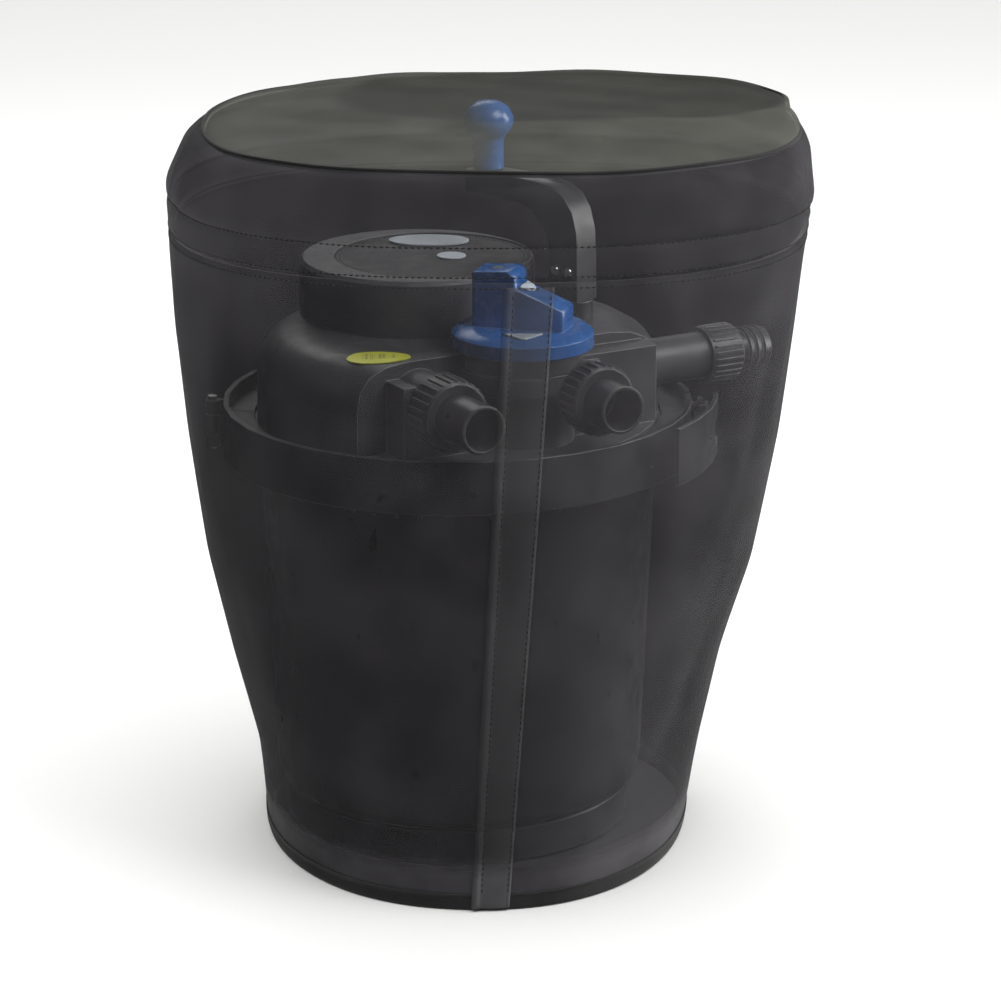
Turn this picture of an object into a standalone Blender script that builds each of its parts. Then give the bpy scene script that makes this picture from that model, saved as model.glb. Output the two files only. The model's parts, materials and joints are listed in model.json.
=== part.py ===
"""Pressurised pond filter under its neoprene winter cover.

Metres, +Z up. The origin is the middle of the foot tray's underside.
The two hose ports on the head's front point along -Y, the waste port along +X.
"""
import math

import bmesh
import bpy
from mathutils import Matrix, Vector

# Overall sizes, each set on its own
JOINT_Z = 0.322           # height at which the drum's flange meets the head's flange
DRUM_R = 0.158            # drum, outside, at its top
HOSE_R = 0.019            # outside radius of a 38 mm hose tail
WASTE_R = 0.018           # outside radius of the ribbed waste tail
UVC_R = 0.094             # lamp housing
UVC_H = 0.0446
KNOB_R = 0.055
VALVE_R = 0.040           # outside of the selector's chamber
CRANK_THROW = 0.085
GEAR_MODULE = 0.00465
GEAR_TEETH = 30
PINION_TEETH = 10
SPONGE_COUNT = 4

# Drum and foot
DRUM_TAPER = 0.0105
TANK_WALL = 0.004
FOOT_INSET = 0.009
FOOT_H = 0.030
FOOT_WEB = 0.003
FOOT_WALL = 0.0205
FLANGE_W = 0.0225
FLANGE_T = 0.006
GAP = 0.0003
TANK_R_LOW = DRUM_R - DRUM_TAPER
FOOT_R = TANK_R_LOW - FOOT_INSET
FLANGE_R = DRUM_R + FLANGE_W
TANK_FLOOR = FOOT_H + 0.0005

# Clamp ring
CLAMP_PLAY = 0.0015
CLAMP_WEB = 0.004
CLAMP_DOWN = 0.020
CLAMP_UP = 0.022
LIP_W = 0.020
CLAMP_R = FLANGE_R + CLAMP_PLAY + CLAMP_WEB
CLAMP_LOW = JOINT_Z - CLAMP_DOWN
CLAMP_TOP = JOINT_Z + CLAMP_UP
HINGE_AZ = 150.0
LATCH_AZ = -30.0
LATCH_PIN_AZ = LATCH_AZ - 6.0
HINGE_PIN_R = CLAMP_R + 0.0085
LATCH_PIN_R = CLAMP_R + 0.0065
CATCH_RUN = 0.05306       # from the lever's pin to the catch post, along the ring
CATCH_AZ = LATCH_PIN_AZ + math.degrees(math.asin(CATCH_RUN / LATCH_PIN_R))
LINK_PIN_RUN = 0.0165
FAR = 2 * CLAMP_R         # reach of a cutter that must pass the whole part

# Ports: their nuts clear the clamp ring, and the head is as tall as the nuts
STUB_WALL = 0.005
NUT_WALL = 0.0032
NUT_OVER_CLAMP = 0.0023
HEAD_OVER_NUT = 0.0033
STUB_R = HOSE_R + STUB_WALL
NUT_R = STUB_R + NUT_WALL
WASTE_STUB_R = WASTE_R + 0.0007
WASTE_NUT_R = WASTE_STUB_R + 0.0035
PORT_Z = CLAMP_TOP + NUT_OVER_CLAMP + NUT_R
HEAD_TOP = PORT_Z + NUT_R + HEAD_OVER_NUT
WASTE_Z = HEAD_TOP - 0.028
HEAD_R = DRUM_R + 0.001
HEAD_WALL = 0.004

# Crank and gears
CRANK_DIST = GEAR_MODULE * (GEAR_TEETH + PINION_TEETH) / 2
CRANK_AZ = -17.6
CRANK_REST = 111.5        # azimuth of the arm at rest
BUSH_R = 0.0165
SHAFT_R = 0.0062
GEAR_LOW = JOINT_Z - 0.0245
GEAR_T = 0.011
GEAR_RIM = 0.0024
CRANK_X = CRANK_DIST * math.cos(math.radians(CRANK_AZ))
CRANK_Y = CRANK_DIST * math.sin(math.radians(CRANK_AZ))

# Lamp housing: beside the crank's bush
UVC_CLEAR = 0.01546       # from the housing's side to the bush
UVC_AZ = 138.54           # from the crank's axis to the housing's
UVC_REACH = UVC_R + UVC_CLEAR + BUSH_R
UVC = (CRANK_X + UVC_REACH * math.cos(math.radians(UVC_AZ)),
       CRANK_Y + UVC_REACH * math.sin(math.radians(UVC_AZ)))
UVC_LOW = HEAD_TOP + 0.0004
UVC_TOP = UVC_LOW + UVC_H
WELL_R = UVC_R - 0.028
SOCKET_R = 0.0155
LAMP_LOW = TANK_FLOOR + 0.0945

# Selector valve: its knob clears the lamp housing
KNOB_CLEAR = 0.0014
VALVE_X = 0.0042
VALVE_Y = UVC[1] - math.sqrt((KNOB_R + UVC_R + KNOB_CLEAR) ** 2 - (VALVE_X - UVC[0]) ** 2)
VALVE = (VALVE_X, VALVE_Y)
CHAMBER_WALL = 0.0055
VALVE_BORE = VALVE_R - CHAMBER_WALL
COLLAR_R = VALVE_R + 0.0055
VALVE_TOP = HEAD_TOP - 0.0115
KNOB_LOW = HEAD_TOP + 0.0035
KNOB_TOP = KNOB_LOW + 0.0155
HANDLE_TOP = KNOB_TOP + 0.045
HANDLE_HALF = KNOB_R - 0.0185
HANDLE_TURN = -48.0      # azimuth of the handle's low end

# Where the front ports leave the head
FRONT_Y = VALVE_Y + 0.0108
PORT_X = (-0.0825, 0.0366)
NUT_LENGTH = (0.0295, 0.0220)
NUT_BACK = 0.0100         # stub's end to the fixed end of the nut
PORT_STUB = (0.0520 - FRONT_Y, COLLAR_R + 0.0127 - VALVE_Y)
TAIL_LENGTH = (0.0505, 0.0370)
WASTE_Y = FRONT_Y - 0.004
WASTE_STUB_X = CLAMP_R + 0.0042
WASTE_TAIL_LENGTH = 0.0388
WASTE_NUT_LENGTH = 0.0295

# Sponge pack
CAGE_GAP = 0.0095
CAGE_R = TANK_R_LOW - TANK_WALL - CAGE_GAP
SPONGE_R = CAGE_R - 0.001
TUBE_R = GEAR_MODULE * (GEAR_TEETH / 2 - 1.15) - GEAR_RIM
TUBE_WALL = 0.004
CAGE_LOW = TANK_FLOOR + 0.0195
CAGE_FLOOR_T = 0.006
SPONGE_LOW = CAGE_LOW + CAGE_FLOOR_T + 0.0005
SPONGE_TOP = JOINT_Z - 0.0315
SPONGE_GAP = 0.0005
SLOT_GAP = 0.020

# Crank arm: it passes over the selector's handle
ARM_CLEAR = 0.026
ARM_LOW = HANDLE_TOP + ARM_CLEAR
ARM_T = 0.019
ARM_HALF = 0.0125
ARM_TOP = ARM_LOW + ARM_T
GRIP_R = 0.0203
GRIP_TOP = ARM_TOP + 0.0555

# Cover
FABRIC = 0.0035
COVER_TURN = -30.0        # the cover's front opening faces this much off -Y
SEAM_GAP = 0.0004
LID_PLAY = 0.0075
COVER_POINTS = 36
SKIRT_TOP = ARM_LOW - 0.0042
BAND_LOW = SKIRT_TOP + SEAM_GAP

PARTS = None
CUTTERS = None


def clear_scene():
    for obj in list(bpy.data.objects):
        bpy.data.objects.remove(obj, do_unlink=True)


def collection(name):
    made = bpy.data.collections.new(name)
    bpy.context.scene.collection.children.link(made)
    return made


def material(name, colour, rough, metal=0.0):
    found = bpy.data.materials.get(name)
    if found:
        return found
    mat = bpy.data.materials.new(name)
    mat.use_nodes = True
    shader = mat.node_tree.nodes["Principled BSDF"]
    shader.inputs["Base Color"].default_value = (*colour, 1.0)
    shader.inputs["Roughness"].default_value = rough
    shader.inputs["Metallic"].default_value = metal
    mat.diffuse_color = (*colour, 1.0)
    return mat


LOOKS = {
    "black": ((0.018, 0.018, 0.020), 0.45, 0.0),
    "satin": ((0.030, 0.030, 0.033), 0.55, 0.0),
    "rubber": ((0.012, 0.012, 0.012), 0.80, 0.0),
    "blue": ((0.010, 0.110, 0.560), 0.35, 0.0),
    "pale": ((0.780, 0.800, 0.820), 0.45, 0.0),
    "steel": ((0.620, 0.620, 0.620), 0.30, 1.0),
    "yellow": ((0.850, 0.720, 0.030), 0.50, 0.0),
    "quartz": ((0.800, 0.850, 0.880), 0.05, 0.0),
    "lamp": ((0.850, 0.850, 0.950), 0.30, 0.0),
    "ceramic": ((0.850, 0.830, 0.780), 0.60, 0.0),
    "foam_blue": ((0.030, 0.140, 0.300), 0.95, 0.0),
    "foam_red": ((0.320, 0.050, 0.040), 0.95, 0.0),
    "cage": ((0.080, 0.080, 0.085), 0.60, 0.0),
    "nylon": ((0.600, 0.600, 0.560), 0.50, 0.0),
    "neoprene": ((0.028, 0.028, 0.028), 0.90, 0.0),
    "neoprene_lid": ((0.050, 0.052, 0.045), 0.90, 0.0),
    "binding": ((0.020, 0.020, 0.022), 0.85, 0.0),
}


def finish(obj, name, look, cutter=False):
    """Name an object, give it its material and put it in its collection."""
    obj.name = name
    obj.data.name = name
    for held in list(obj.users_collection):
        held.objects.unlink(obj)
    if cutter:
        CUTTERS.objects.link(obj)
        obj.display_type = "WIRE"
        obj.hide_render = True
    else:
        PARTS.objects.link(obj)
        obj.data.materials.clear()
        obj.data.materials.append(material(look, *LOOKS[look]))
    return obj


def turned(name, profile, look, steps=32, at=(0, 0, 0), axis="Z", closed=True, cutter=False):
    """A solid of revolution. The profile runs down the outer side, then up inside."""
    mesh = bpy.data.meshes.new(name)
    verts = [(r, 0.0, z) for r, z in profile]
    edges = [(i, i + 1) for i in range(len(verts) - 1)]
    if closed:
        edges.append((len(verts) - 1, 0))
    mesh.from_pydata(verts, edges, [])
    obj = bpy.data.objects.new(name, mesh)
    bpy.context.scene.collection.objects.link(obj)
    screw = obj.modifiers.new("turn", "SCREW")
    screw.axis = "Z"
    screw.steps = steps
    screw.render_steps = steps
    screw.use_merge_vertices = True
    screw.merge_threshold = 0.00001
    screw.use_smooth_shade = True
    obj.location = at
    turns = {"Z": (0, 0, 0), "-Y": (math.radians(90), 0, 0), "Y": (math.radians(-90), 0, 0),
             "X": (0, math.radians(90), 0)}
    obj.rotation_euler = turns[axis]
    return finish(obj, name, look, cutter)


def disc(name, radius, low, high, look, steps=32, at=(0, 0), cutter=False, bevel=0.0):
    """An upright round solid between two heights."""
    if bevel:
        profile = [(0, high), (radius - bevel, high), (radius, high - bevel), (radius, low), (0, low)]
    else:
        profile = [(0, high), (radius, high), (radius, low), (0, low)]
    return turned(name, profile, look, steps, (at[0], at[1], 0), "Z", False, cutter)


def rod(name, radius, start, length, axis, look, steps=24, cutter=False):
    """A round solid from a point along an axis."""
    profile = [(0, length), (radius, length), (radius, 0), (0, 0)]
    return turned(name, profile, look, steps, start, axis, False, cutter)


def ring(name, outer, inner, low, high, look, steps=32, at=(0, 0), cutter=False):
    profile = [(outer, high), (outer, low), (inner, low), (inner, high)]
    return turned(name, profile, look, steps, (at[0], at[1], 0), "Z", True, cutter)


def box(name, low, high, look, cutter=False, turn=0.0, bevel=0.0, about=(0, 0)):
    """A box between two corners, turned about an upright line."""
    mesh = bpy.data.meshes.new(name)
    bm = bmesh.new()
    bmesh.ops.create_cube(bm, size=1.0)
    size = [high[i] - low[i] for i in range(3)]
    mid = [(high[i] + low[i]) / 2 for i in range(3)]
    bmesh.ops.scale(bm, vec=size, verts=bm.verts)
    bmesh.ops.translate(bm, vec=mid, verts=bm.verts)
    bm.to_mesh(mesh)
    bm.free()
    obj = bpy.data.objects.new(name, mesh)
    bpy.context.scene.collection.objects.link(obj)
    obj.location = (about[0], about[1], 0)
    obj.rotation_euler = (0, 0, math.radians(turn))
    if bevel:
        soften(obj, bevel)
    return finish(obj, name, look, cutter)


def soften(obj, width, segments=1):
    mod = obj.modifiers.new("edge", "BEVEL")
    mod.width = width
    mod.segments = segments
    mod.limit_method = "ANGLE"
    mod.angle_limit = math.radians(40)
    return mod


def boolean(obj, tool, how="DIFFERENCE"):
    mod = obj.modifiers.new(tool.name, "BOOLEAN")
    mod.operation = how
    mod.solver = "EXACT"
    mod.object = tool
    return mod


def combine(obj, label, tools, how="DIFFERENCE"):
    """Join or cut a piece with several others in one step."""
    group = bpy.data.collections.new(label)
    CUTTERS.children.link(group)
    for tool in tools:
        for held in list(tool.users_collection):
            held.objects.unlink(tool)
        group.objects.link(tool)
    mod = obj.modifiers.new(label, "BOOLEAN")
    mod.operation = how
    mod.solver = "EXACT"
    mod.operand_type = "COLLECTION"
    mod.collection = group
    return mod


def outline(name, loops, thickness, look, matrix, cutter=False, bevel=0.0):
    """A flat outline, with holes, given a thickness and made a mesh."""
    curve = bpy.data.curves.new(name, "CURVE")
    curve.dimensions = "2D"
    curve.fill_mode = "BOTH"
    curve.extrude = thickness / 2
    for loop in loops:
        spline = curve.splines.new("POLY")
        spline.points.add(len(loop) - 1)
        for point, (x, y) in zip(spline.points, loop):
            point.co = (x, y, 0, 1)
        spline.use_cyclic_u = True
    drawn = bpy.data.objects.new(name + "_curve", curve)
    bpy.context.scene.collection.objects.link(drawn)
    drawn.matrix_world = matrix
    bpy.context.view_layer.update()
    graph = bpy.context.evaluated_depsgraph_get()
    mesh = bpy.data.meshes.new_from_object(drawn.evaluated_get(graph))
    bm = bmesh.new()
    bm.from_mesh(mesh)
    bmesh.ops.remove_doubles(bm, verts=bm.verts, dist=0.00001)
    bmesh.ops.recalc_face_normals(bm, faces=bm.faces)
    bm.to_mesh(mesh)
    bm.free()
    obj = bpy.data.objects.new(name, mesh)
    bpy.context.scene.collection.objects.link(obj)
    obj.matrix_world = matrix
    bpy.data.objects.remove(drawn, do_unlink=True)
    if bevel:
        soften(obj, bevel)
    return finish(obj, name, look, cutter)


def polar(radius, azimuth):
    a = math.radians(azimuth)
    return (radius * math.cos(a), radius * math.sin(a))


def turned_plan(u, w):
    """A point in the cover's plan, whose front faces -w, in the part's frame."""
    a = math.radians(COVER_TURN)
    return (u * math.cos(a) - w * math.sin(a), u * math.sin(a) + w * math.cos(a))


def superellipse(count, cu, left, right, front, back, power):
    """Points round a closed plan with its own reach to each of four sides."""
    points = []
    for i in range(count):
        t = 2 * math.pi * i / count
        c = math.cos(t)
        s = math.sin(t)
        reach_u = right if c > 0 else left
        reach_w = back if s > 0 else front
        u = cu + reach_u * math.copysign(abs(c) ** (2 / power), c)
        w = reach_w * math.copysign(abs(s) ** (2 / power), s)
        points.append((u, w))
    return points


def loft(name, outer, inner, look, top_cap=False):
    """A shell between outer and inner rings of points, each from the lowest up."""
    bm = bmesh.new()
    outside = [[bm.verts.new(p) for p in points] for points in outer]
    inside = [[bm.verts.new(p) for p in points] for points in inner]
    count = len(outside[0])
    walls = list(zip(outside, outside[1:])) + [(high, low) for low, high in zip(inside, inside[1:])]
    walls.append((inside[0], outside[0]))
    if not top_cap:
        walls.append((outside[-1], inside[-1]))
    for lower, upper in walls:
        for i in range(count):
            j = (i + 1) % count
            bm.faces.new((lower[i], lower[j], upper[j], upper[i]))
    if top_cap:
        bm.faces.new(outside[-1])
        bm.faces.new(list(reversed(inside[-1])))
    mesh = bpy.data.meshes.new(name)
    bm.to_mesh(mesh)
    bm.free()
    obj = bpy.data.objects.new(name, mesh)
    bpy.context.scene.collection.objects.link(obj)
    return finish(obj, name, look)


def gear_loop(teeth, module, phase, slim=0.82):
    """The outline of a spur gear with straight-sided teeth and backlash."""
    pitch_r = module * teeth / 2
    tip = pitch_r + 0.80 * module
    root = pitch_r - 1.15 * module
    step = 2 * math.pi / teeth
    at_root = 0.36 * step * slim
    at_tip = 0.15 * step * slim
    loop = []
    for i in range(teeth):
        mid = phase + i * step
        for r, a in ((root, -at_root), (tip, -at_tip), (tip, at_tip), (root, at_root)):
            loop.append((r * math.cos(mid + a), r * math.sin(mid + a)))
    return loop


def oval_loop(half_long, half_short, count):
    return [(half_long * math.cos(2 * math.pi * i / count), half_short * math.sin(2 * math.pi * i / count))
            for i in range(count)]


def circle_loop(radius, count):
    return oval_loop(radius, radius, count)


# ---------------------------------------------------------------- drum and foot

def make_drum():
    inside = FOOT_R - FOOT_WALL
    turned("foot_tray", [(0, FOOT_WEB), (inside, FOOT_WEB), (inside, FOOT_H), (FOOT_R - 0.002, FOOT_H),
                         (FOOT_R, FOOT_H - 0.002), (FOOT_R, 0.002), (FOOT_R - 0.002, 0.0), (0, 0)],
           "black", closed=False)
    low = TANK_FLOOR
    top = JOINT_Z - GAP
    bend = low + 0.0195
    boss = low + 0.0315
    seat = DRUM_R + 0.0047
    inner = [(0, boss), (0.012, boss), (0.012, low + TANK_WALL), (TANK_R_LOW - 0.013, low + TANK_WALL)]
    inner += [(TANK_R_LOW - TANK_WALL, bend + 0.002), (DRUM_R - 0.0035, JOINT_Z - 0.014), (DRUM_R - 0.0035, top)]
    inner += [(seat, top), (seat, top - 0.003), (seat + 0.0066, top - 0.003), (seat + 0.0066, top)]
    under = JOINT_Z - FLANGE_T - 0.0002
    outer = [(FLANGE_R, top), (FLANGE_R, under), (DRUM_R + 0.0025, under)]
    outer += [(DRUM_R, JOINT_Z - 0.011), (TANK_R_LOW, bend)]
    for k in range(1, 4):
        a = math.radians(90 * k / 3)
        outer.append((TANK_R_LOW - 0.010 * (1 - math.cos(a)), bend - (bend - low) * math.sin(a)))
    turned("tank", inner + outer + [(0, low)], "black", 32, closed=False)
    ring("tank_seal", seat + 0.0063, seat + 0.0003, top - 0.0027, top, "rubber", 32)


# ---------------------------------------------------------------- clamp ring

def channel(name):
    """The ring's section: a band with two lips that hold the flanges together."""
    inner = CLAMP_R - CLAMP_WEB
    lip = CLAMP_R - CLAMP_WEB - LIP_W
    near = FLANGE_T + 0.0005
    away = near + 0.004
    profile = [(CLAMP_R, CLAMP_TOP), (CLAMP_R, CLAMP_LOW), (inner, CLAMP_LOW), (inner, JOINT_Z - away),
               (lip, JOINT_Z - away), (lip, JOINT_Z - near), (inner, JOINT_Z - near), (inner, JOINT_Z + near),
               (lip, JOINT_Z + near), (lip, JOINT_Z + away), (inner, JOINT_Z + away), (inner, CLAMP_TOP)]
    return turned(name, profile, "black")


def half_block(name, side):
    """A block over one half of the ring, cut along the line from hinge to latch."""
    across = -0.0006 if side > 0 else 0.0006
    low = (-FAR, across if side > 0 else -FAR, CLAMP_LOW - 0.02)
    high = (FAR, FAR if side > 0 else across, CLAMP_TOP + 0.02)
    return box(name, low, high, "black", cutter=True, turn=HINGE_AZ)


def knuckle(name, radius, azimuth, low, high, width=0.006, side=0):
    """A round eye on a short web, standing off the clamp ring. Heights are from the joint."""
    low += JOINT_Z
    high += JOINT_Z
    eye = disc(name + "_eye", width, low, high, "black", 12, polar(radius, azimuth), True)
    near = -width * 0.8 if side <= 0 else 0.0008
    far = width * 0.8 if side >= 0 else -0.0008
    web = box(name + "_web", (CLAMP_R - 0.0031, near, low + 0.0004), (radius, far, high - 0.0004),
              "black", cutter=True, turn=azimuth)
    return [eye, web]


def bore(name, radius, at, look="black"):
    """A cutter for an upright pin hole through the clamp ring's height."""
    return disc(name, radius, CLAMP_LOW - 0.012, CLAMP_TOP + 0.016, look, 12, at, True)


def headed_pin(name, at, radius, head_r, low, under, top):
    """An upright pin with a flat head. Heights are from the joint."""
    turned(name, [(0, JOINT_Z + top), (head_r, JOINT_Z + top), (head_r, JOINT_Z + under), (radius, JOINT_Z + under),
                  (radius, JOINT_Z + low), (0, JOINT_Z + low)], "steel", 12, (*at, 0), "Z", False)


def link_pin_at():
    """The link's pin, on the lever beyond the lever's own pin."""
    return latch_point(-LINK_PIN_RUN, 0.0)


def latch_point(along, out):
    """A point in plan measured from the lever's pin, along the ring and outwards."""
    a = math.radians(LATCH_PIN_AZ)
    x, y = polar(LATCH_PIN_R + out, LATCH_PIN_AZ)
    return (x - math.sin(a) * along, y + math.cos(a) * along)


def make_clamp():
    front = channel("clamp_front")
    back = channel("clamp_back")
    boolean(front, half_block("cut_front_half", -1))
    boolean(back, half_block("cut_back_half", 1))
    hinge_at = polar(HINGE_PIN_R, HINGE_AZ)
    lever_at = polar(LATCH_PIN_R, LATCH_PIN_AZ)
    link_at = link_pin_at()
    front_adds = knuckle("hinge_mid", HINGE_PIN_R, HINGE_AZ, -0.0065, 0.0085, side=1)
    back_adds = knuckle("hinge_low", HINGE_PIN_R, HINGE_AZ, -0.0180, -0.0070, side=-1)
    back_adds += knuckle("hinge_top", HINGE_PIN_R, HINGE_AZ, 0.0090, 0.0200, side=-1)
    front_adds += knuckle("latch_low", LATCH_PIN_R, LATCH_PIN_AZ, -0.0178, -0.0125, width=0.005)
    front_adds += knuckle("latch_top", LATCH_PIN_R, LATCH_PIN_AZ, 0.0165, 0.0218, width=0.005)
    back_adds.append(box("catch_post", (CLAMP_R - 0.0031, -0.0025, JOINT_Z - 0.0043),
                         (CLAMP_R + 0.0180, 0.0025, JOINT_Z + 0.0083), "black", cutter=True, turn=CATCH_AZ))
    combine(front, "clamp_front_adds", front_adds, "UNION")
    combine(back, "clamp_back_adds", back_adds, "UNION")
    combine(front, "clamp_front_bores", [bore("hinge_bore", 0.0028, hinge_at), bore("latch_bore", 0.0026, lever_at)])
    boolean(back, bore("hinge_bore_back", 0.0028, hinge_at))
    headed_pin("clamp_hinge_pin", hinge_at, 0.0025, 0.0038, -0.0200, 0.0205, 0.0232)
    headed_pin("lever_pin", lever_at, 0.0023, 0.0036, -0.0190, 0.0223, 0.0248)

    # The lever: a curved plate outside, forked round the link, with two ears in to its pins.
    plate = ring("clamp_lever", CLAMP_R + 0.0205, CLAMP_R + 0.0170, JOINT_Z - 0.0175, JOINT_Z + 0.0280, "black", 40)
    keep = [(0, 0)] + [polar(CLAMP_R + 0.074, LATCH_PIN_AZ + turn) for turn in (-28.0, -10.0, 3.5)]
    sector = outline("lever_sector", [keep], 0.12, "black", Matrix.Translation((0, 0, JOINT_Z + 0.008)), True)
    boolean(plate, sector, "INTERSECT")
    boolean(plate, box("lever_fork", (CLAMP_R + 0.013, -0.0150, JOINT_Z - 0.0075),
                       (CLAMP_R + 0.025, 0.0300, JOINT_Z + 0.0115), "black", cutter=True, turn=LATCH_PIN_AZ))
    ears = [box("lever_ear_" + label, (CLAMP_R + 0.0025, -0.0225, JOINT_Z + low),
                (CLAMP_R + 0.0185, 0.0040, JOINT_Z + high), "black", cutter=True, turn=LATCH_PIN_AZ)
            for label, low, high in (("low", -0.0120, -0.0065), ("top", 0.0105, 0.0160))]
    combine(plate, "lever_ears", ears, "UNION")
    combine(plate, "lever_bores", [bore("lever_bore", 0.0026, lever_at), bore("link_bore", 0.0021, link_at)])
    disc("link_pin", 0.0018, JOINT_Z - 0.0125, JOINT_Z + 0.0165, "steel", 12, link_at)

    # The link: a flat strap from the lever, outside its pin, over the catch post.
    middle = [(-LINK_PIN_RUN, 0.0), (-0.008, 0.0058), (0.006, 0.0072), (0.022, 0.0055),
              (CATCH_RUN - 0.0130, 0.0022), (CATCH_RUN + 0.0110, -0.0042)]
    upper = [latch_point(along, out + 0.0016) for along, out in middle]
    lower = [latch_point(along, out - 0.0016) for along, out in reversed(middle)]
    strap = outline("clamp_link", [upper + lower], 0.0160, "steel", Matrix.Translation((0, 0, JOINT_Z + 0.002)))
    boolean(strap, disc("link_eye", 0.0042, JOINT_Z - 0.0056, JOINT_Z + 0.0096, "steel", 12, link_at, True), "UNION")
    window = box("link_window", (CLAMP_R - 0.006, -0.0100, JOINT_Z - 0.0048),
                 (CLAMP_R + 0.029, 0.0028, JOINT_Z + 0.0088), "steel", cutter=True, turn=CATCH_AZ)
    combine(strap, "link_cuts", [bore("link_eye_bore", 0.0021, link_at, "steel"), window])


# ---------------------------------------------------------------- head

def shoulder(offset=0.0, count=4):
    """The head's rounded shoulder, from the flat top out and down to its side."""
    a = 0.036
    b = 0.034
    points = []
    for k in range(count + 1):
        t = math.radians(90 * k / count)
        r = HEAD_R - a + (a + offset) * math.sin(t) ** (2 / 2.3)
        z = HEAD_TOP - b + (b + offset) * math.cos(t) ** (2 / 2.3)
        points.append((r, z))
    return points


def make_head():
    skirt = JOINT_Z + 0.004
    head = turned("head", [(0, HEAD_TOP)] + shoulder() + [(HEAD_R, skirt), (0, skirt)], "satin", 32, closed=False)
    boolean(head, box("cut_front", (-FAR, -FAR, JOINT_Z + 0.012), (FAR, FRONT_Y, HEAD_TOP + 0.046), "black",
                      cutter=True))
    combine(head, "head_shape", [
        disc("add_flange", FLANGE_R, JOINT_Z, JOINT_Z + FLANGE_T + 0.0002, "black", 32, cutter=True),
        disc("add_pedestal", UVC_R - 0.002, JOINT_Z + 0.028, HEAD_TOP - 0.0006, "black", 32, UVC, True)], "UNION")

    # Room inside: the same shape one wall thickness in, open downwards.
    inner = [(0, HEAD_TOP - HEAD_WALL)] + shoulder(-HEAD_WALL)
    inner += [(HEAD_R - HEAD_WALL, JOINT_Z - 0.02), (0, JOINT_Z - 0.02)]
    room = turned("cut_room", inner, "black", 32, closed=False, cutter=True)
    boolean(room, box("room_front", (-FAR, -FAR, JOINT_Z + 0.008), (FAR, FRONT_Y + HEAD_WALL, HEAD_TOP + 0.046),
                      "black", cutter=True))
    boolean(head, room)

    combine(head, "head_adds", chamber_adds() + port_adds(), "UNION")
    combine(head, "head_cuts", head_cuts())
    make_label()


def chamber_adds():
    """The selector's chamber and the collar round its mouth, trimmed behind the right nut."""
    x, y = VALVE
    chamber = disc("add_chamber", VALVE_R, JOINT_Z + 0.0095, VALVE_TOP, "black", 24, VALVE, True)
    collar = disc("add_collar", COLLAR_R + 0.0030, VALVE_TOP - 0.0160, VALVE_TOP - 0.0005, "black", 28, VALVE, True)
    trim = 0.0134 - PORT_STUB[1]
    boolean(collar, box("trim_collar", (x - FAR, trim - FAR, VALVE_TOP - 0.04), (x + FAR, trim, VALVE_TOP + 0.03),
                        "black", cutter=True))
    return [chamber, collar]


def port_adds():
    """Stubs for the three unions and the fairings at their roots."""
    adds = []
    for label, x, end in zip(("left", "right"), PORT_X, PORT_STUB):
        adds.append(rod("add_stub_" + label, STUB_R, (x, FRONT_Y + 0.0025, PORT_Z), end + FRONT_Y + 0.0025, "-Y",
                        "black", 20, True))
        adds.append(box("add_fairing_" + label, (x - STUB_R - 0.003, FRONT_Y - 0.028, JOINT_Z + 0.0100),
                        (x + STUB_R + 0.003, FRONT_Y + 0.002, PORT_Z + 0.018), "black", cutter=True))
    root = VALVE[0] + VALVE_R - 0.004
    half = WASTE_STUB_R + 0.0008
    adds.append(rod("add_waste_stub", WASTE_STUB_R, (root, WASTE_Y, WASTE_Z), WASTE_STUB_X - root, "X", "black", 20,
                    True))
    adds.append(box("add_waste_fairing", (root - 0.001, WASTE_Y - half, JOINT_Z + 0.0105),
                    (HEAD_R - 0.041, FRONT_Y + 0.0015, WASTE_Z + half), "black", cutter=True))
    return adds


def head_cuts():
    """Everything bored into the head: chamber, cap seat, water ways, shaft and sleeve."""
    x, y = VALVE
    bore_r = HOSE_R - 0.0035
    over = HEAD_TOP + 0.02
    return [disc("cut_chamber", VALVE_BORE, JOINT_Z + 0.016, over, "black", 24, VALVE, True),
            disc("cut_cap_seat", COLLAR_R + 0.0005, VALVE_TOP + 0.0002, over, "black", 28, VALVE, True),
            box("cut_window", (x - 0.0213, y + 0.0203, JOINT_Z + 0.020), (x + 0.0213, y + 0.0623, HEAD_TOP - 0.020),
                "black", cutter=True),
            rod("cut_bore_left", bore_r, (PORT_X[0], FRONT_Y + 0.013, PORT_Z), PORT_STUB[0] + FRONT_Y + 0.04, "-Y",
                "black", 20, True),
            rod("cut_bore_right", bore_r, (PORT_X[1], y + 0.002, PORT_Z), PORT_STUB[1] + y + 0.03, "-Y", "black", 20,
                True),
            rod("cut_bore_waste", WASTE_R - 0.004, (x + VALVE_R - 0.012, WASTE_Y, WASTE_Z), WASTE_STUB_X, "X",
                "black", 20, True),
            disc("cut_shaft", SHAFT_R + 0.0004, HEAD_TOP - 0.014, over, "black", 16, crank_axis(), True),
            disc("cut_sleeve", 0.0146, HEAD_TOP - 0.014, over, "black", 16, (0, 0), True)]


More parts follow.
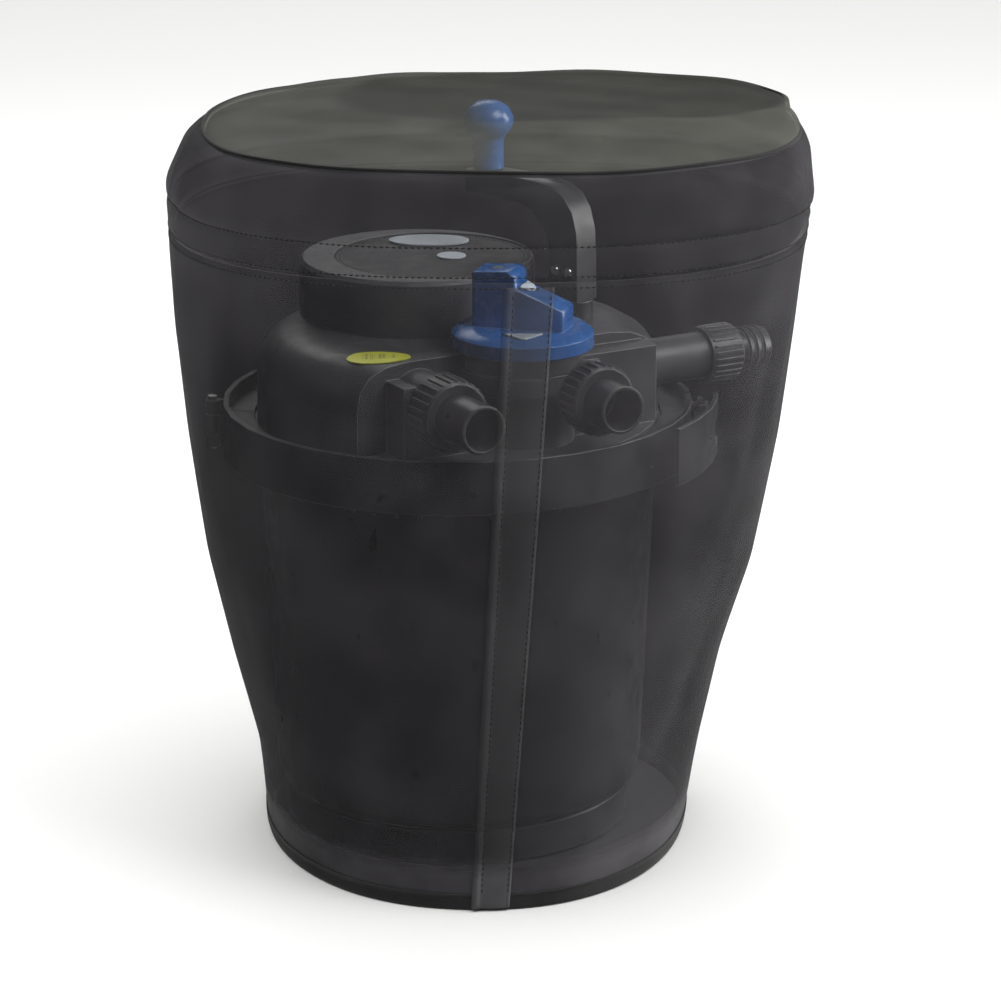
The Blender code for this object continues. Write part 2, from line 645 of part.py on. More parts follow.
def make_label():
    """An oval film bent over the head's shoulder."""
    skin = [(0, HEAD_TOP + 0.0011)] + shoulder(0.0011) + [(0, HEAD_TOP - 0.034)]
    label = turned("rating_label", skin, "yellow", 40, closed=False)
    under = [(0, HEAD_TOP + GAP)] + shoulder(GAP) + [(0, HEAD_TOP - 0.074)]
    boolean(label, turned("cut_label_under", under, "yellow", 40, closed=False, cutter=True))
    y = FRONT_Y + 0.022
    x = -math.sqrt((HEAD_R - 0.0379) ** 2 - y ** 2)
    place = Matrix.Translation((x, y, HEAD_TOP - 0.004)) @ Matrix.Rotation(math.radians(COVER_TURN), 4, "Z")
    boolean(label, outline("label_oval", [oval_loop(0.0245, 0.0140, 24)], 0.12, "yellow", place, True), "INTERSECT")


def crank_axis():
    return (CRANK_X, CRANK_Y)


# ---------------------------------------------------------------- unions and hose tails

def make_union(label, start, axis, stub_end, length, stub_r, nut_r, tail_r, nut_len, barbs):
    """Seal, hose tail and nut along one port. Distances run from the start point."""
    near = stub_end + 0.0003
    ring_low = stub_r - 0.0068
    ring_high = stub_r - 0.0022
    turned("port_seal_" + label, [(ring_high, near + 0.002), (ring_high, near), (ring_low, near),
                                  (ring_low, near + 0.002)], "rubber", 20, start, axis)
    foot = near + 0.0023
    tail_end = stub_end + length
    hollow = tail_r - 0.0028
    outer = [(tail_r - 0.0008, tail_end), (tail_r, tail_end - 0.0008)]
    if barbs:
        count = 3
        run = (tail_end - foot - 0.016) / count
        first = tail_end - 0.0008
        outer = [(tail_r - 0.0022, tail_end)]
        for k in range(count):
            outer += [(tail_r, first - run * (k + 0.85)), (tail_r - 0.0022, first - run * (k + 1))]
        outer.append((tail_r - 0.0022, foot + 0.003))
    else:
        outer.append((tail_r, foot + 0.003))
    tail = outer + [(stub_r - 0.0008, foot + 0.003), (stub_r - 0.0008, foot), (hollow, foot), (hollow, tail_end)]
    turned("hose_tail_" + label, tail, "black", 20, start, axis)
    lip = foot + 0.0034
    waist = tail_r + (0.0003 if barbs else 0.0006)
    back = lip + 0.004 - nut_len
    nut = [(nut_r, lip + 0.0025), (nut_r, back), (stub_r + 0.0004, back), (stub_r + 0.0004, lip),
           (waist, lip), (waist, lip + 0.004), (nut_r - 0.0015, lip + 0.004)]
    turned("union_nut_" + label, nut, "black", 20, start, axis)


def make_unions():
    for label, x, stub, length, nut in zip(("left", "right"), PORT_X, PORT_STUB, TAIL_LENGTH, NUT_LENGTH):
        make_union(label, (x, 0, PORT_Z), "-Y", stub, length, STUB_R, NUT_R, HOSE_R, nut, False)
    make_union("waste", (0, WASTE_Y, WASTE_Z), "X", WASTE_STUB_X, WASTE_TAIL_LENGTH, WASTE_STUB_R, WASTE_NUT_R,
               WASTE_R, WASTE_NUT_LENGTH, True)


# ---------------------------------------------------------------- selector valve

def make_valve():
    at = (*VALVE, 0)
    ring("valve_cap", COLLAR_R, 0.0095, VALVE_TOP + GAP, HEAD_TOP + 0.0028, "black", 28, VALVE)
    outer = VALVE_BORE - 0.0008
    lid = VALVE_TOP - 0.0007
    low = JOINT_Z + 0.017
    stem_top = KNOB_LOW + 0.009
    stem = [(0, stem_top), (0.0088, stem_top), (0.0088, lid), (outer, lid), (outer, low), (outer - 0.004, low),
            (outer - 0.004, lid - 0.0048), (0, lid - 0.0048)]
    rotor = turned("valve_rotor", stem, "nylon", 24, at, "Z", False)
    boolean(rotor, box("cut_rotor", (-0.014, -0.02 - VALVE_R, JOINT_Z + 0.024), (0.014, 0.0, HEAD_TOP - 0.020),
                       "nylon", cutter=True, turn=45.0, about=VALVE))

    knob = turned("selector_knob", [(0, KNOB_TOP), (KNOB_R - 0.006, KNOB_TOP), (KNOB_R, KNOB_TOP - 0.0045),
                                    (KNOB_R, KNOB_LOW + 0.001), (KNOB_R - 0.001, KNOB_LOW), (0, KNOB_LOW)],
                  "blue", 32, at, "Z", False)
    wide = HANDLE_HALF
    side_loop = [(-wide, KNOB_TOP - 0.004), (wide, KNOB_TOP - 0.004), (wide, HANDLE_TOP - 0.028),
                 (-0.0015, HANDLE_TOP - 0.013), (-0.0015, HANDLE_TOP - 0.004), (-0.0060, HANDLE_TOP),
                 (-wide, HANDLE_TOP - 0.002)]
    upright = Matrix.Translation(at) @ Matrix.Rotation(math.radians(HANDLE_TURN), 4, "Z")
    upright = upright @ Matrix.Rotation(math.radians(90), 4, "X")
    grip = outline("add_handle", [side_loop], 0.030, "blue", upright, True, bevel=0.0015)
    screw_at = handle_point(0.0165 - wide)
    boolean(knob, grip, "UNION")
    boolean(knob, disc("cut_stem", 0.0091, HEAD_TOP - 0.004, stem_top + 0.0005, "blue", 24, VALVE, True))
    boolean(knob, disc("cut_screw", 0.0048, HANDLE_TOP - 0.004, HANDLE_TOP + 0.012, "blue", 20, screw_at, True))
    disc("knob_screw", 0.0044, HANDLE_TOP - 0.0037, HANDLE_TOP - 0.0008, "steel", 20, screw_at)

    # Half-round inlay on the handle's slope, and the pointer on the knob's front.
    slope = math.atan2(0.015, wide + 0.0015)
    tilt = Matrix.Translation((*handle_point(0.0002), HANDLE_TOP - 0.01235))
    tilt = tilt @ Matrix.Rotation(math.radians(HANDLE_TURN), 4, "Z")
    tilt = tilt @ Matrix.Rotation(slope, 4, "Y") @ Matrix.Translation((0.0005, 0, 0.0))
    half = [(0.0100 * math.cos(math.pi * i / 12 - math.pi / 2), 0.0100 * math.sin(math.pi * i / 12 - math.pi / 2))
            for i in range(13)]
    outline("knob_inlay", [half], 0.0014, "pale", tilt)
    tip = 0.008 - KNOB_R
    arrow = [(0.0150, tip + 0.016), (-0.0150, tip + 0.016), (-0.002, tip), (0.002, tip)]
    place = Matrix.Translation((*VALVE, KNOB_TOP + 0.0009)) @ Matrix.Rotation(math.radians(COVER_TURN), 4, "Z")
    outline("knob_pointer", [arrow], 0.0012, "pale", place)


def handle_point(along):
    """A point in plan along the selector's handle, from the valve's axis."""
    x, y = polar(along, HANDLE_TURN)
    return (VALVE[0] + x, VALVE[1] + y)


# ---------------------------------------------------------------- ultraviolet unit

def make_uvc():
    low = UVC_LOW
    top = UVC_TOP
    house = turned("uvc_housing", [(0, top), (UVC_R - 0.003, top), (UVC_R, top - 0.003), (UVC_R, low), (0, low)],
                   "satin", 36, (*UVC, 0), "Z", False)
    shift = turned_plan(0.0125, 0.0)
    cap_at = (UVC[0] + shift[0], UVC[1] + shift[1])
    gland_z = HEAD_TOP + 0.024
    combine(house, "housing_cuts", [
        disc("cut_recess", UVC_R - 0.0150, top - 0.0060, top + 0.01, "black", 32, cap_at, True),
        disc("cut_well", WELL_R, low + 0.004, top, "black", 32, cap_at, True),
        disc("cut_socket", SOCKET_R + 0.0013, low - 0.01, HEAD_TOP + 0.0265, "black", 24, (0, 0), True),
        rod("cut_cable", 0.0036, (UVC[0], UVC[1] + WELL_R - 0.026, gland_z), UVC_R, "Y", "black", 16, True)])
    disc("uvc_cap", UVC_R - 0.0154, top - 0.0057, top - 0.0015, "black", 32, cap_at)
    back = turned_plan(-0.004, UVC_R - 0.0420)
    place = Matrix.Translation((cap_at[0] + back[0], cap_at[1] + back[1], top - 0.0004))
    place = place @ Matrix.Rotation(math.radians(COVER_TURN), 4, "Z")
    outline("uvc_badge", [oval_loop(0.0325, 0.0185, 24)], 0.0016, "pale", place)
    spot = turned_plan(0.0150, 0.0)
    disc("uvc_window", 0.0115, top - 0.0012, top - 0.0002, "pale", 24, (cap_at[0] + spot[0], cap_at[1] + spot[1]))

    sleeve = [(0, LAMP_LOW + 0.002), (0.0078, LAMP_LOW + 0.0035), (0.0110, LAMP_LOW + 0.0075),
              (0.0110, low + 0.0025), (0.0158, low + 0.0025), (0.0158, low + 0.0003), (0.0125, low + 0.0003),
              (0.0125, LAMP_LOW + 0.006), (0.0088, LAMP_LOW + 0.0015), (0, LAMP_LOW)]
    turned("quartz_sleeve", sleeve, "quartz", 20, closed=False)
    turned("uvc_lamp", [(0, low - 0.0002), (0.0095, low - 0.0002), (0.0095, low - 0.0164), (0.0078, low - 0.0164),
                        (0.0078, LAMP_LOW + 0.012), (0, LAMP_LOW + 0.012)], "lamp", 20, closed=False)
    turned("lamp_socket", [(0, HEAD_TOP + 0.026), (SOCKET_R - 0.0045, HEAD_TOP + 0.026), (SOCKET_R, HEAD_TOP + 0.022),
                           (SOCKET_R, low + 0.0029), (0, low + 0.0029)], "ceramic", 24, closed=False)
    ring("sleeve_seal", 0.0143, 0.0128, HEAD_TOP - 0.0036, HEAD_TOP - 0.0004, "rubber", 24)
    gland = [(0.0036, 0.020), (0.0075, 0.018), (0.0090, 0.011), (0.0090, 0.0009), (0.0036, 0.0009)]
    turned("cable_gland", gland, "black", 20, (UVC[0], UVC[1] + UVC_R - 0.0006, gland_z), "Y")


# ---------------------------------------------------------------- sponge cage, gears and crank

def make_cage():
    inner = TUBE_R - TUBE_WALL
    floor = CAGE_LOW + CAGE_FLOOR_T
    tube_top = JOINT_Z - 0.0225
    cage = turned("sponge_cage", [(TUBE_R, tube_top), (TUBE_R, floor), (CAGE_R, floor), (CAGE_R, CAGE_LOW),
                                  (0.0126, CAGE_LOW), (0.0126, floor), (inner, floor), (inner, tube_top)],
                  "cage", 24)
    slots = []
    pitch = (SPONGE_TOP - SPONGE_LOW - 0.024) / 2
    for level in range(2):
        low = SPONGE_LOW + 0.0185 + level * pitch
        for turn in (7.5, 97.5):
            slots.append(box(f"cut_slot_{level}_{int(turn)}", (-TUBE_R - 0.018, -0.010, low + turn / 100000),
                             (TUBE_R + 0.018, 0.010, low + pitch - SLOT_GAP), "cage", cutter=True, turn=turn))
    combine(cage, "cage_slots", slots)
    step = (SPONGE_TOP - SPONGE_LOW) / SPONGE_COUNT
    for k in range(SPONGE_COUNT):
        low = SPONGE_LOW + k * step
        ring(f"sponge_{k + 1}", SPONGE_R, TUBE_R + GAP, low, low + step - SPONGE_GAP,
             "foam_blue" if k % 2 == 0 else "foam_red", 24)
    ring("sponge_top_plate", CAGE_R, TUBE_R + GAP, SPONGE_TOP + GAP, GEAR_LOW - 0.0005, "cage", 24)
    axis = math.radians(CRANK_AZ)
    middle = GEAR_LOW + GEAR_T / 2
    outline("ring_gear", [gear_loop(GEAR_TEETH, GEAR_MODULE, axis + math.pi / GEAR_TEETH),
                          circle_loop(TUBE_R + GAP, 24)], GEAR_T, "nylon", Matrix.Translation((0, 0, middle)))
    outline("pinion", [gear_loop(PINION_TEETH, GEAR_MODULE, axis + math.pi), circle_loop(SHAFT_R + GAP, 16)],
            GEAR_T, "nylon", Matrix.Translation((*crank_axis(), middle)))


def make_crank():
    at = crank_axis()
    end = crank_end()
    hub_low = HEAD_TOP + 0.016
    shaft_top = HEAD_TOP + 0.048
    disc("crank_shaft", SHAFT_R, GEAR_LOW - 0.0001, shaft_top, "steel", 24, at)
    ring("crank_bush", BUSH_R, SHAFT_R + 0.0004, HEAD_TOP + GAP, HEAD_TOP + 0.0155, "black", 32, at)
    ring("shaft_seal", 0.0125, SHAFT_R + 0.0002, HEAD_TOP - 0.0080, HEAD_TOP - 0.0044, "rubber", 24, at)

    # Side view of the swan-neck arm, from the hub up and over to the grip.
    side = [(-0.0145, hub_low), (0.0145, hub_low), (0.0140, hub_low + 0.020), (0.0150, ARM_LOW - 0.032),
            (0.0205, ARM_LOW - 0.017), (0.0310, ARM_LOW - 0.006), (0.0460, ARM_LOW - 0.001), (0.0620, ARM_LOW),
            (CRANK_THROW + 0.014, ARM_LOW), (CRANK_THROW + 0.014, ARM_TOP), (0.0560, ARM_TOP),
            (0.0300, ARM_TOP - 0.0005), (0.0120, ARM_TOP - 0.003), (0.0, ARM_TOP - 0.0095),
            (-0.0085, ARM_TOP - 0.021), (-0.0130, ARM_TOP - 0.037), (-0.0140, ARM_TOP - 0.057)]
    plane = Matrix.Translation((*at, 0)) @ Matrix.Rotation(math.radians(CRANK_REST), 4, "Z")
    plane = plane @ Matrix.Rotation(math.radians(90), 4, "X")
    arm = outline("crank_arm", [side], 2 * ARM_HALF, "black", plane, bevel=0.0020)
    boolean(arm, disc("cut_hub", SHAFT_R + 0.0002, hub_low - 0.01, shaft_top + 0.0003, "black", 24, at, True))
    boolean(arm, disc("cut_grip_pin", 0.0032, ARM_LOW + 0.004, ARM_TOP + 0.017, "black", 16, end, True))
    top = GRIP_TOP
    low = ARM_TOP + 0.0004
    disc("grip_pin", 0.0030, ARM_LOW + 0.0044, top - 0.0265, "steel", 16, end)
    shape = [(0, top), (0.0090, top - 0.0012), (0.0160, top - 0.0055), (GRIP_R - 0.0003, top - 0.0125),
             (GRIP_R, top - 0.0175), (0.0178, top - 0.0240), (0.0138, top - 0.0282), (0.0122, top - 0.0320),
             (0.0122, low + 0.001), (0.0112, low), (0.0034, low), (0.0034, top - 0.0260), (0, top - 0.0260)]
    turned("crank_grip", shape, "blue", 20, (*end, 0), "Z", False)

    # Two screws hold the crank's hub on the shaft, on the face toward the front.
    for label, across in (("a", -0.0065), ("b", 0.0065)):
        place = Matrix.Translation((*at, HEAD_TOP + 0.040)) @ Matrix.Rotation(math.radians(CRANK_REST), 4, "Z")
        place = place @ Matrix.Translation((across, ARM_HALF + GAP, 0)) @ Matrix.Rotation(math.radians(-90), 4, "X")
        screw = turned("hub_screw_" + label, [(0, 0.0026), (0.0030, 0.0026), (0.0036, 0.0018), (0.0036, 0), (0, 0)],
                       "steel", 16, closed=False)
        screw.matrix_world = place


def crank_end():
    x, y = polar(CRANK_THROW, CRANK_REST)
    return (CRANK_X + x, CRANK_Y + y)


# ---------------------------------------------------------------- cover

def cover_sections():
    """The skirt's, band's and lid's sections, each from the lowest up.

    Height, plan centre, reach to the left, right, front and back, squareness, and how far
    the inner face lies inwards and down from the outer one. The reaches follow the clamp
    ring and the parts that stand furthest out; the heights follow the drum, head and crank.
    """
    wide = CLAMP_R - 0.186
    front = wide + max(PORT_STUB[0] + TAIL_LENGTH[0], PORT_STUB[1] + TAIL_LENGTH[1]) - 0.190 - wide
    front = max(front, wide)
    back = max(wide, UVC[1] + UVC_R - 0.14928)
    right = max(wide, CRANK_X + CRANK_THROW - 0.17365)
    drum = JOINT_Z / 0.322
    skirt = ((0.0015, 0.0185, 0.1735, 0.1645, 0.2270, 0.1640, 2.15),
             (0.0760 * drum, 0.0185, 0.1815, 0.1770, 0.2310, 0.1760, 2.20),
             (0.1500 * drum, 0.0170, 0.1985, 0.1935, 0.2340, 0.1880, 2.25),
             (0.2350 * drum, 0.0185, 0.2180, 0.2180, 0.2370, 0.2010, 2.32),
             (JOINT_Z + 0.0130, 0.0205, 0.2331, 0.2335, 0.2360, 0.2120, 2.40),
             (HEAD_TOP + 0.0150, 0.0220, 0.2429, 0.2430, 0.2290, 0.2140, 2.45),
             (SKIRT_TOP, 0.0250, 0.2490, 0.2480, 0.2200, 0.2110, 2.50))
    rim = GRIP_TOP - 0.0125
    band = ((BAND_LOW, 0.0250, 0.2490, 0.2480, 0.2200, 0.2110, 2.50, FABRIC, 0.0),
            (BAND_LOW + 0.0358, 0.0270, 0.2515, 0.2505, 0.2150, 0.2090, 2.50, FABRIC, 0.0),
            (rim, 0.0310, 0.2400, 0.2420, 0.2060, 0.2010, 2.50, 0.0030, 0.0020))
    lid = ((rim + 0.0005, 0.0310, 0.2400, 0.2420, 0.2060, 0.2010, 2.50, 0.0030, 0.0020),
           (GRIP_TOP - 0.0065, 0.0330, 0.2330, 0.2350, 0.2010, 0.1960, 2.50, 0.0020, 0.0030),
           (GRIP_TOP - 0.0005, 0.0480, 0.2060, 0.2010, 0.1620, 0.1780, 2.40, 0.0005, 0.0034),
           (GRIP_TOP + 0.0050, 0.0600, 0.1700, 0.1750, 0.1250, 0.1560, 2.30, 0.0003, 0.0034),
           (GRIP_TOP + LID_PLAY, 0.0700, 0.1250, 0.1450, 0.0950, 0.1250, 2.30, 0.0, FABRIC))
    skirt = tuple(row + (FABRIC, 0.0) for row in skirt)
    grow = (0.0, 0.0, wide, right, front, back, 0.0, 0.0, 0.0)
    return [tuple(tuple(a + b for a, b in zip(row, grow)) for row in rows) for rows in (skirt, band, lid)]


def cover_rings(sections, inner=False):
    rings = []
    for z, cu, left, right, front, back, square, inwards, down in sections:
        t = inwards if inner else 0.0
        plan = superellipse(COVER_POINTS, cu, left - t, right - t, front - t, back - t, square)
        height = z - down if inner else z
        rings.append([(*turned_plan(u, w), height) for u, w in plan])
    return rings


def cover_piece(name, sections, look, top_cap=False):
    return loft(name, cover_rings(sections), cover_rings(sections, True), look, top_cap)


def section_at(sections, z):
    """The cover's plan at a height between two of its sections."""
    for low, high in zip(sections, sections[1:]):
        if z <= high[0]:
            f = (z - low[0]) / (high[0] - low[0])
            return [a + f * (b - a) for a, b in zip(low, high)]
    return list(sections[-1])


def front_w(sections, u, z, stand):
    """How far forward the cover's front face is at a place across it."""
    _, cu, left, right, front, _, power, _, _ = section_at(sections, z)
    side = right if u > cu else left
    f = min(abs(u - cu) / side, 0.999)
    return -(front * (1 - f ** power) ** (1 / power)) - stand


def make_cover():
    skirt, band, lid = cover_sections()
    cover_piece("cover_skirt", skirt, "neoprene")
    cover_piece("cover_band", band, "neoprene")
    cover_piece("cover_lid", lid, "neoprene_lid", top_cap=True)

    # The closing strip laps over the front opening, from the band down to the hem.
    rows = 9
    columns = 5
    low = 0.0030
    high = SKIRT_TOP - 0.0028
    bm = bmesh.new()
    grid = []
    for i in range(rows + 1):
        f = i / rows
        z = low + (high - low) * f
        left = 0.019 + (0.033 - 0.019) * f
        right = 0.047 + (0.072 - 0.047) * f
        line = []
        for k in range(columns + 1):
            u = left + (right - left) * k / columns
            line.append(bm.verts.new((*turned_plan(u, front_w(skirt, u, z, 0.0009)), z)))
        grid.append(line)
    for lower, upper in zip(grid, grid[1:]):
        for k in range(columns):
            bm.faces.new((lower[k], lower[k + 1], upper[k + 1], upper[k]))
    mesh = bpy.data.meshes.new("cover_placket")
    bm.to_mesh(mesh)
    bm.free()
    obj = bpy.data.objects.new("cover_placket", mesh)
    bpy.context.scene.collection.objects.link(obj)
    solid = obj.modifiers.new("cloth", "SOLIDIFY")
    solid.thickness = 0.003
    solid.offset = 1.0
    finish(obj, "cover_placket", "binding")


def main():
    global PARTS, CUTTERS
    clear_scene()
    PARTS = collection("pond_filter")
    CUTTERS = collection("cutters")
    make_drum()
    make_clamp()
    make_head()
    make_unions()
    make_valve()
    make_uvc()
    make_cage()
    make_crank()
    make_cover()


main()
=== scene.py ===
"""Looks of a pressure pond filter standing under its fitted neoprene winter cover.

The cover is drawn half see-through, so the filter shows inside it. Everything is in metres.
"""
import json
import math

import bmesh
import bpy
import numpy as np
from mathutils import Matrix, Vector


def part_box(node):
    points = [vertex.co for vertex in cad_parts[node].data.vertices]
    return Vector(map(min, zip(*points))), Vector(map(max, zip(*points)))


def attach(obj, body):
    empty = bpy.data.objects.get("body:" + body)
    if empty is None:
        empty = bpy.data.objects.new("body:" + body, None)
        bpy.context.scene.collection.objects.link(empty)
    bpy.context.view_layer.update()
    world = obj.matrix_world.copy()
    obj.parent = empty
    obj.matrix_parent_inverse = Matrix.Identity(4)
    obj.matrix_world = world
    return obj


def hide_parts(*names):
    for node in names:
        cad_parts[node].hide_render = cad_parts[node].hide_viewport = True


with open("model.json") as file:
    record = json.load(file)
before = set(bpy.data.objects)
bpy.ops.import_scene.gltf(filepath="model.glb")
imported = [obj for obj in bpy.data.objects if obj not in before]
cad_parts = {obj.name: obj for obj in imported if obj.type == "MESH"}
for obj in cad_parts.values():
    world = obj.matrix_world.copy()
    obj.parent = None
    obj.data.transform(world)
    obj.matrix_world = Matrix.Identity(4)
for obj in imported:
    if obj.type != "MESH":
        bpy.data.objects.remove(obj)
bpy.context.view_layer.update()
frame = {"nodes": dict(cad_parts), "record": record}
nodes = frame["nodes"]


# ---------------------------------------------------------------- colours and node helper

def linear(code):
    """An sRGB hex colour as linear red, green, blue and full alpha."""
    parts = [int(code[i:i + 2], 16) / 255 for i in (1, 3, 5)]
    return tuple(c / 12.92 if c <= 0.04045 else ((c + 0.055) / 1.055) ** 2.4 for c in parts) + (1.0,)


def per(millimetres):
    """Pattern scale that repeats once in so many millimetres."""
    return 1000.0 / millimetres


def add(tree, kind, **settings):
    """Adds one node. A setting is a property, an input's value or a socket to link into that input."""
    node = tree.nodes.new("ShaderNode" + kind)
    for name, value in settings.items():
        if hasattr(node, name):
            setattr(node, name, value)
            continue
        key = int(name[1:]) if name[1:].isdigit() else name.replace("_", " ")
        if isinstance(value, bpy.types.NodeSocket):
            tree.links.new(value, node.inputs[key])
        else:
            node.inputs[key].default_value = value
    return node


def start_material(name, **shader):
    """A material with its shader joined to its output, and coordinates in metres."""
    made = bpy.data.materials.new(name)
    made.use_nodes = True
    tree = made.node_tree
    tree.nodes.clear()
    surface = add(tree, "BsdfPrincipled", **shader)
    add(tree, "OutputMaterial", Surface=surface.outputs[0])
    place = add(tree, "TexCoord").outputs["Object"]
    return made, tree, surface, place


def dress(tree, surface, colour, gloss, relief=None, strength=0.0, depth=0.0, rounded=None):
    """Gives a shader its colour, its roughness and, where there is any, its relief."""
    tree.links.new(colour, surface.inputs["Base Color"])
    tree.links.new(gloss, surface.inputs["Roughness"])
    if relief is not None:
        bump = add(tree, "Bump", Strength=strength, Distance=depth, Height=relief,
                   **({"Normal": rounded} if rounded else {}))
        tree.links.new(bump.outputs[0], surface.inputs["Normal"])


def ramp(tree, value, low, high, to_low=0.0, to_high=1.0):
    """Maps a value from one span to another, clamped."""
    return add(tree, "MapRange", clamp=True, i0=value, i1=low, i2=high, i3=to_low, i4=to_high).outputs[0]


def mixed(tree, factor, first, second):
    """Colour between two colours."""
    return add(tree, "Mix", data_type="RGBA", i0=factor, i6=first, i7=second).outputs[2]


def noise(tree, place, size, detail=2.0, roughness=0.5):
    """Even noise with patches so many millimetres wide."""
    return add(tree, "TexNoise", Vector=place, Scale=per(size), Detail=detail,
               Roughness=roughness).outputs["Fac"]


def edges(tree, radius):
    """How near a surface point is to a sharp edge, from 0 to 1, and the rounded normal there."""
    rounded = add(tree, "Bevel", samples=4, Radius=radius).outputs[0]
    true = add(tree, "NewGeometry").outputs["Normal"]
    dot = add(tree, "VectorMath", operation="DOT_PRODUCT", i0=rounded, i1=true).outputs["Value"]
    return ramp(tree, dot, 0.995, 0.80), rounded


# ---------------------------------------------------------------- moulded plastics

def moulded(name, base, wear_and_highlight_tone, roughness=0.42, grain=1.1, depth=0.00006, mottle=0.07, edge=0.0011,
            **shader):
    """Injection-moulded plastic: fine spark-eroded grain, uneven gloss and lighter edges, partly worn and
    partly a painted highlight.
    """
    made, tree, surface, place = start_material(name, IOR=1.49, **shader)
    near_edge, rounded = edges(tree, edge)
    patches = noise(tree, place, 34, 4.0, 0.6)
    body = mixed(tree, ramp(tree, patches, 0.35, 0.7, 0.0, mottle), linear(base), linear(wear_and_highlight_tone))
    # lighter edges: partly worn, partly a painted highlight along the rims
    wear_and_highlight = add(tree, "Math", operation="MULTIPLY", i0=near_edge,
               i1=ramp(tree, noise(tree, place, 7, 3.0), 0.3, 0.6, 0.45, 1.0)).outputs[0]
    gloss = ramp(tree, noise(tree, place, 12, 4.0), 0.3, 0.7, roughness - 0.07, roughness + 0.09)
    dress(tree, surface, mixed(tree, wear_and_highlight, body, linear(wear_and_highlight_tone)), gloss,
          noise(tree, place, grain), 0.5, depth, rounded)
    return made


# Glass-filled polypropylene, moulded black: drum, clamp, tails, nuts. Grey at edges: partly worn, partly
# painted highlight.
black_pp = moulded("black_polypropylene", "#242426", "#9a9a9d", 0.34)
# ABS with a satin tool finish: head, lamp housing and valve cap. A little softer in gloss.
satin_abs = moulded("satin_abs", "#3e3e40", "#a4a4a6", 0.40, grain=1.4)
# Blue ABS, glossy: the selector knob and the crank's grip.
blue_abs = moulded("blue_abs", "#1f5a9f", "#86b4e4", 0.26, grain=3.0, depth=0.00003, mottle=0.06)
# Pale ABS inlays: lamp window, knob patch and pointer.
pale_abs = moulded("pale_abs", "#c9d3dc", "#f2f5f7", 0.35)
# Natural nylon gears, milky.
nylon = moulded("nylon_gear", "#d8d2c0", "#f1eee2", 0.5, Subsurface_Weight=0.15)
# Dark grey polypropylene cage round the sponges.
cage_pp = moulded("cage_polypropylene", "#35373a", "#6d7074", 0.5)


def metal(name, base, roughness):
    """Bright metal with slight smears and a fine, even grain."""
    made, tree, surface, place = start_material(name, Metallic=1.0)
    rounded = add(tree, "Bevel", samples=4, Radius=0.0004).outputs[0]
    tone = mixed(tree, noise(tree, place, 5, 3.0), linear(base), linear("#c9c9c6"))
    gloss = ramp(tree, noise(tree, place, 2), 0.3, 0.7, roughness, roughness + 0.15)
    dress(tree, surface, tone, gloss, noise(tree, place, 0.7), 0.3, 0.00003, rounded)
    return made


# Stainless steel pins, shaft and screws.
steel = metal("stainless_steel", "#a3a3a1", 0.22)


def rubber(name, base):
    """Moulded EPDM seal: matt, faintly dusty."""
    made, tree, surface, place = start_material(name, IOR=1.52)
    dust = noise(tree, place, 9, 4.0, 0.65)
    tone = mixed(tree, ramp(tree, dust, 0.45, 0.75, 0.0, 0.5), linear(base), linear("#4d4d4a"))
    gloss = ramp(tree, dust, 0.3, 0.7, 0.62, 0.8)
    dress(tree, surface, tone, gloss, noise(tree, place, 0.9), 0.4, 0.0001)
    return made


# EPDM sealing rings, black and matt.
epdm = rubber("epdm_seal", "#151516")


def foam(name, base, painted_pore_shade):
    """Open-cell filter foam: round pores a few millimetres wide, with painted shade inside them."""
    made, tree, surface, place = start_material(name, IOR=1.45, Sheen_Weight=0.2)
    cells = add(tree, "TexVoronoi", Vector=place, Scale=per(3.2)).outputs["Distance"]
    tone = mixed(tree, ramp(tree, cells, 0.1, 0.55), linear(painted_pore_shade), linear(base))
    dress(tree, surface, tone, ramp(tree, cells, 0.0, 0.6, 0.95, 0.8), cells, 0.9, 0.0012)
    return made


# Coarse and fine open-cell foam rings.
foam_blue = foam("foam_coarse_blue", "#3d78b4", "#15304d")
foam_red = foam("foam_fine_red", "#b04a3c", "#4a1a15")


def glass(name, tint, roughness, frost):
    """Clear tube glass with a faint water film."""
    made, tree, surface, place = start_material(name, IOR=1.46, Transmission_Weight=0.9)
    film = noise(tree, place, 14, 4.0)
    tone = mixed(tree, ramp(tree, film, 0.4, 0.7, 0.0, frost), linear(tint), linear("#e9efe9"))
    dress(tree, surface, tone, ramp(tree, film, 0.3, 0.7, roughness, roughness + 0.12))
    return made


# Fused quartz sleeve, clear, and the lamp's frosted glass.
quartz = glass("fused_quartz", "#f4f8fa", 0.03, 0.3)
lamp_glass = glass("lamp_glass", "#dfe6f2", 0.08, 0.6)


def fired(name, base):
    """Unglazed white ceramic: chalky, with fine grit."""
    made, tree, surface, place = start_material(name, IOR=1.55)
    grit = noise(tree, place, 0.8, 3.0)
    tone = mixed(tree, ramp(tree, grit, 0.3, 0.7, 0.0, 0.4), linear(base), linear("#cfcabf"))
    dress(tree, surface, tone, ramp(tree, grit, 0.3, 0.7, 0.55, 0.7), grit, 0.4, 0.0001)
    return made


# Unglazed ceramic lamp socket.
ceramic = fired("steatite", "#ece8de")


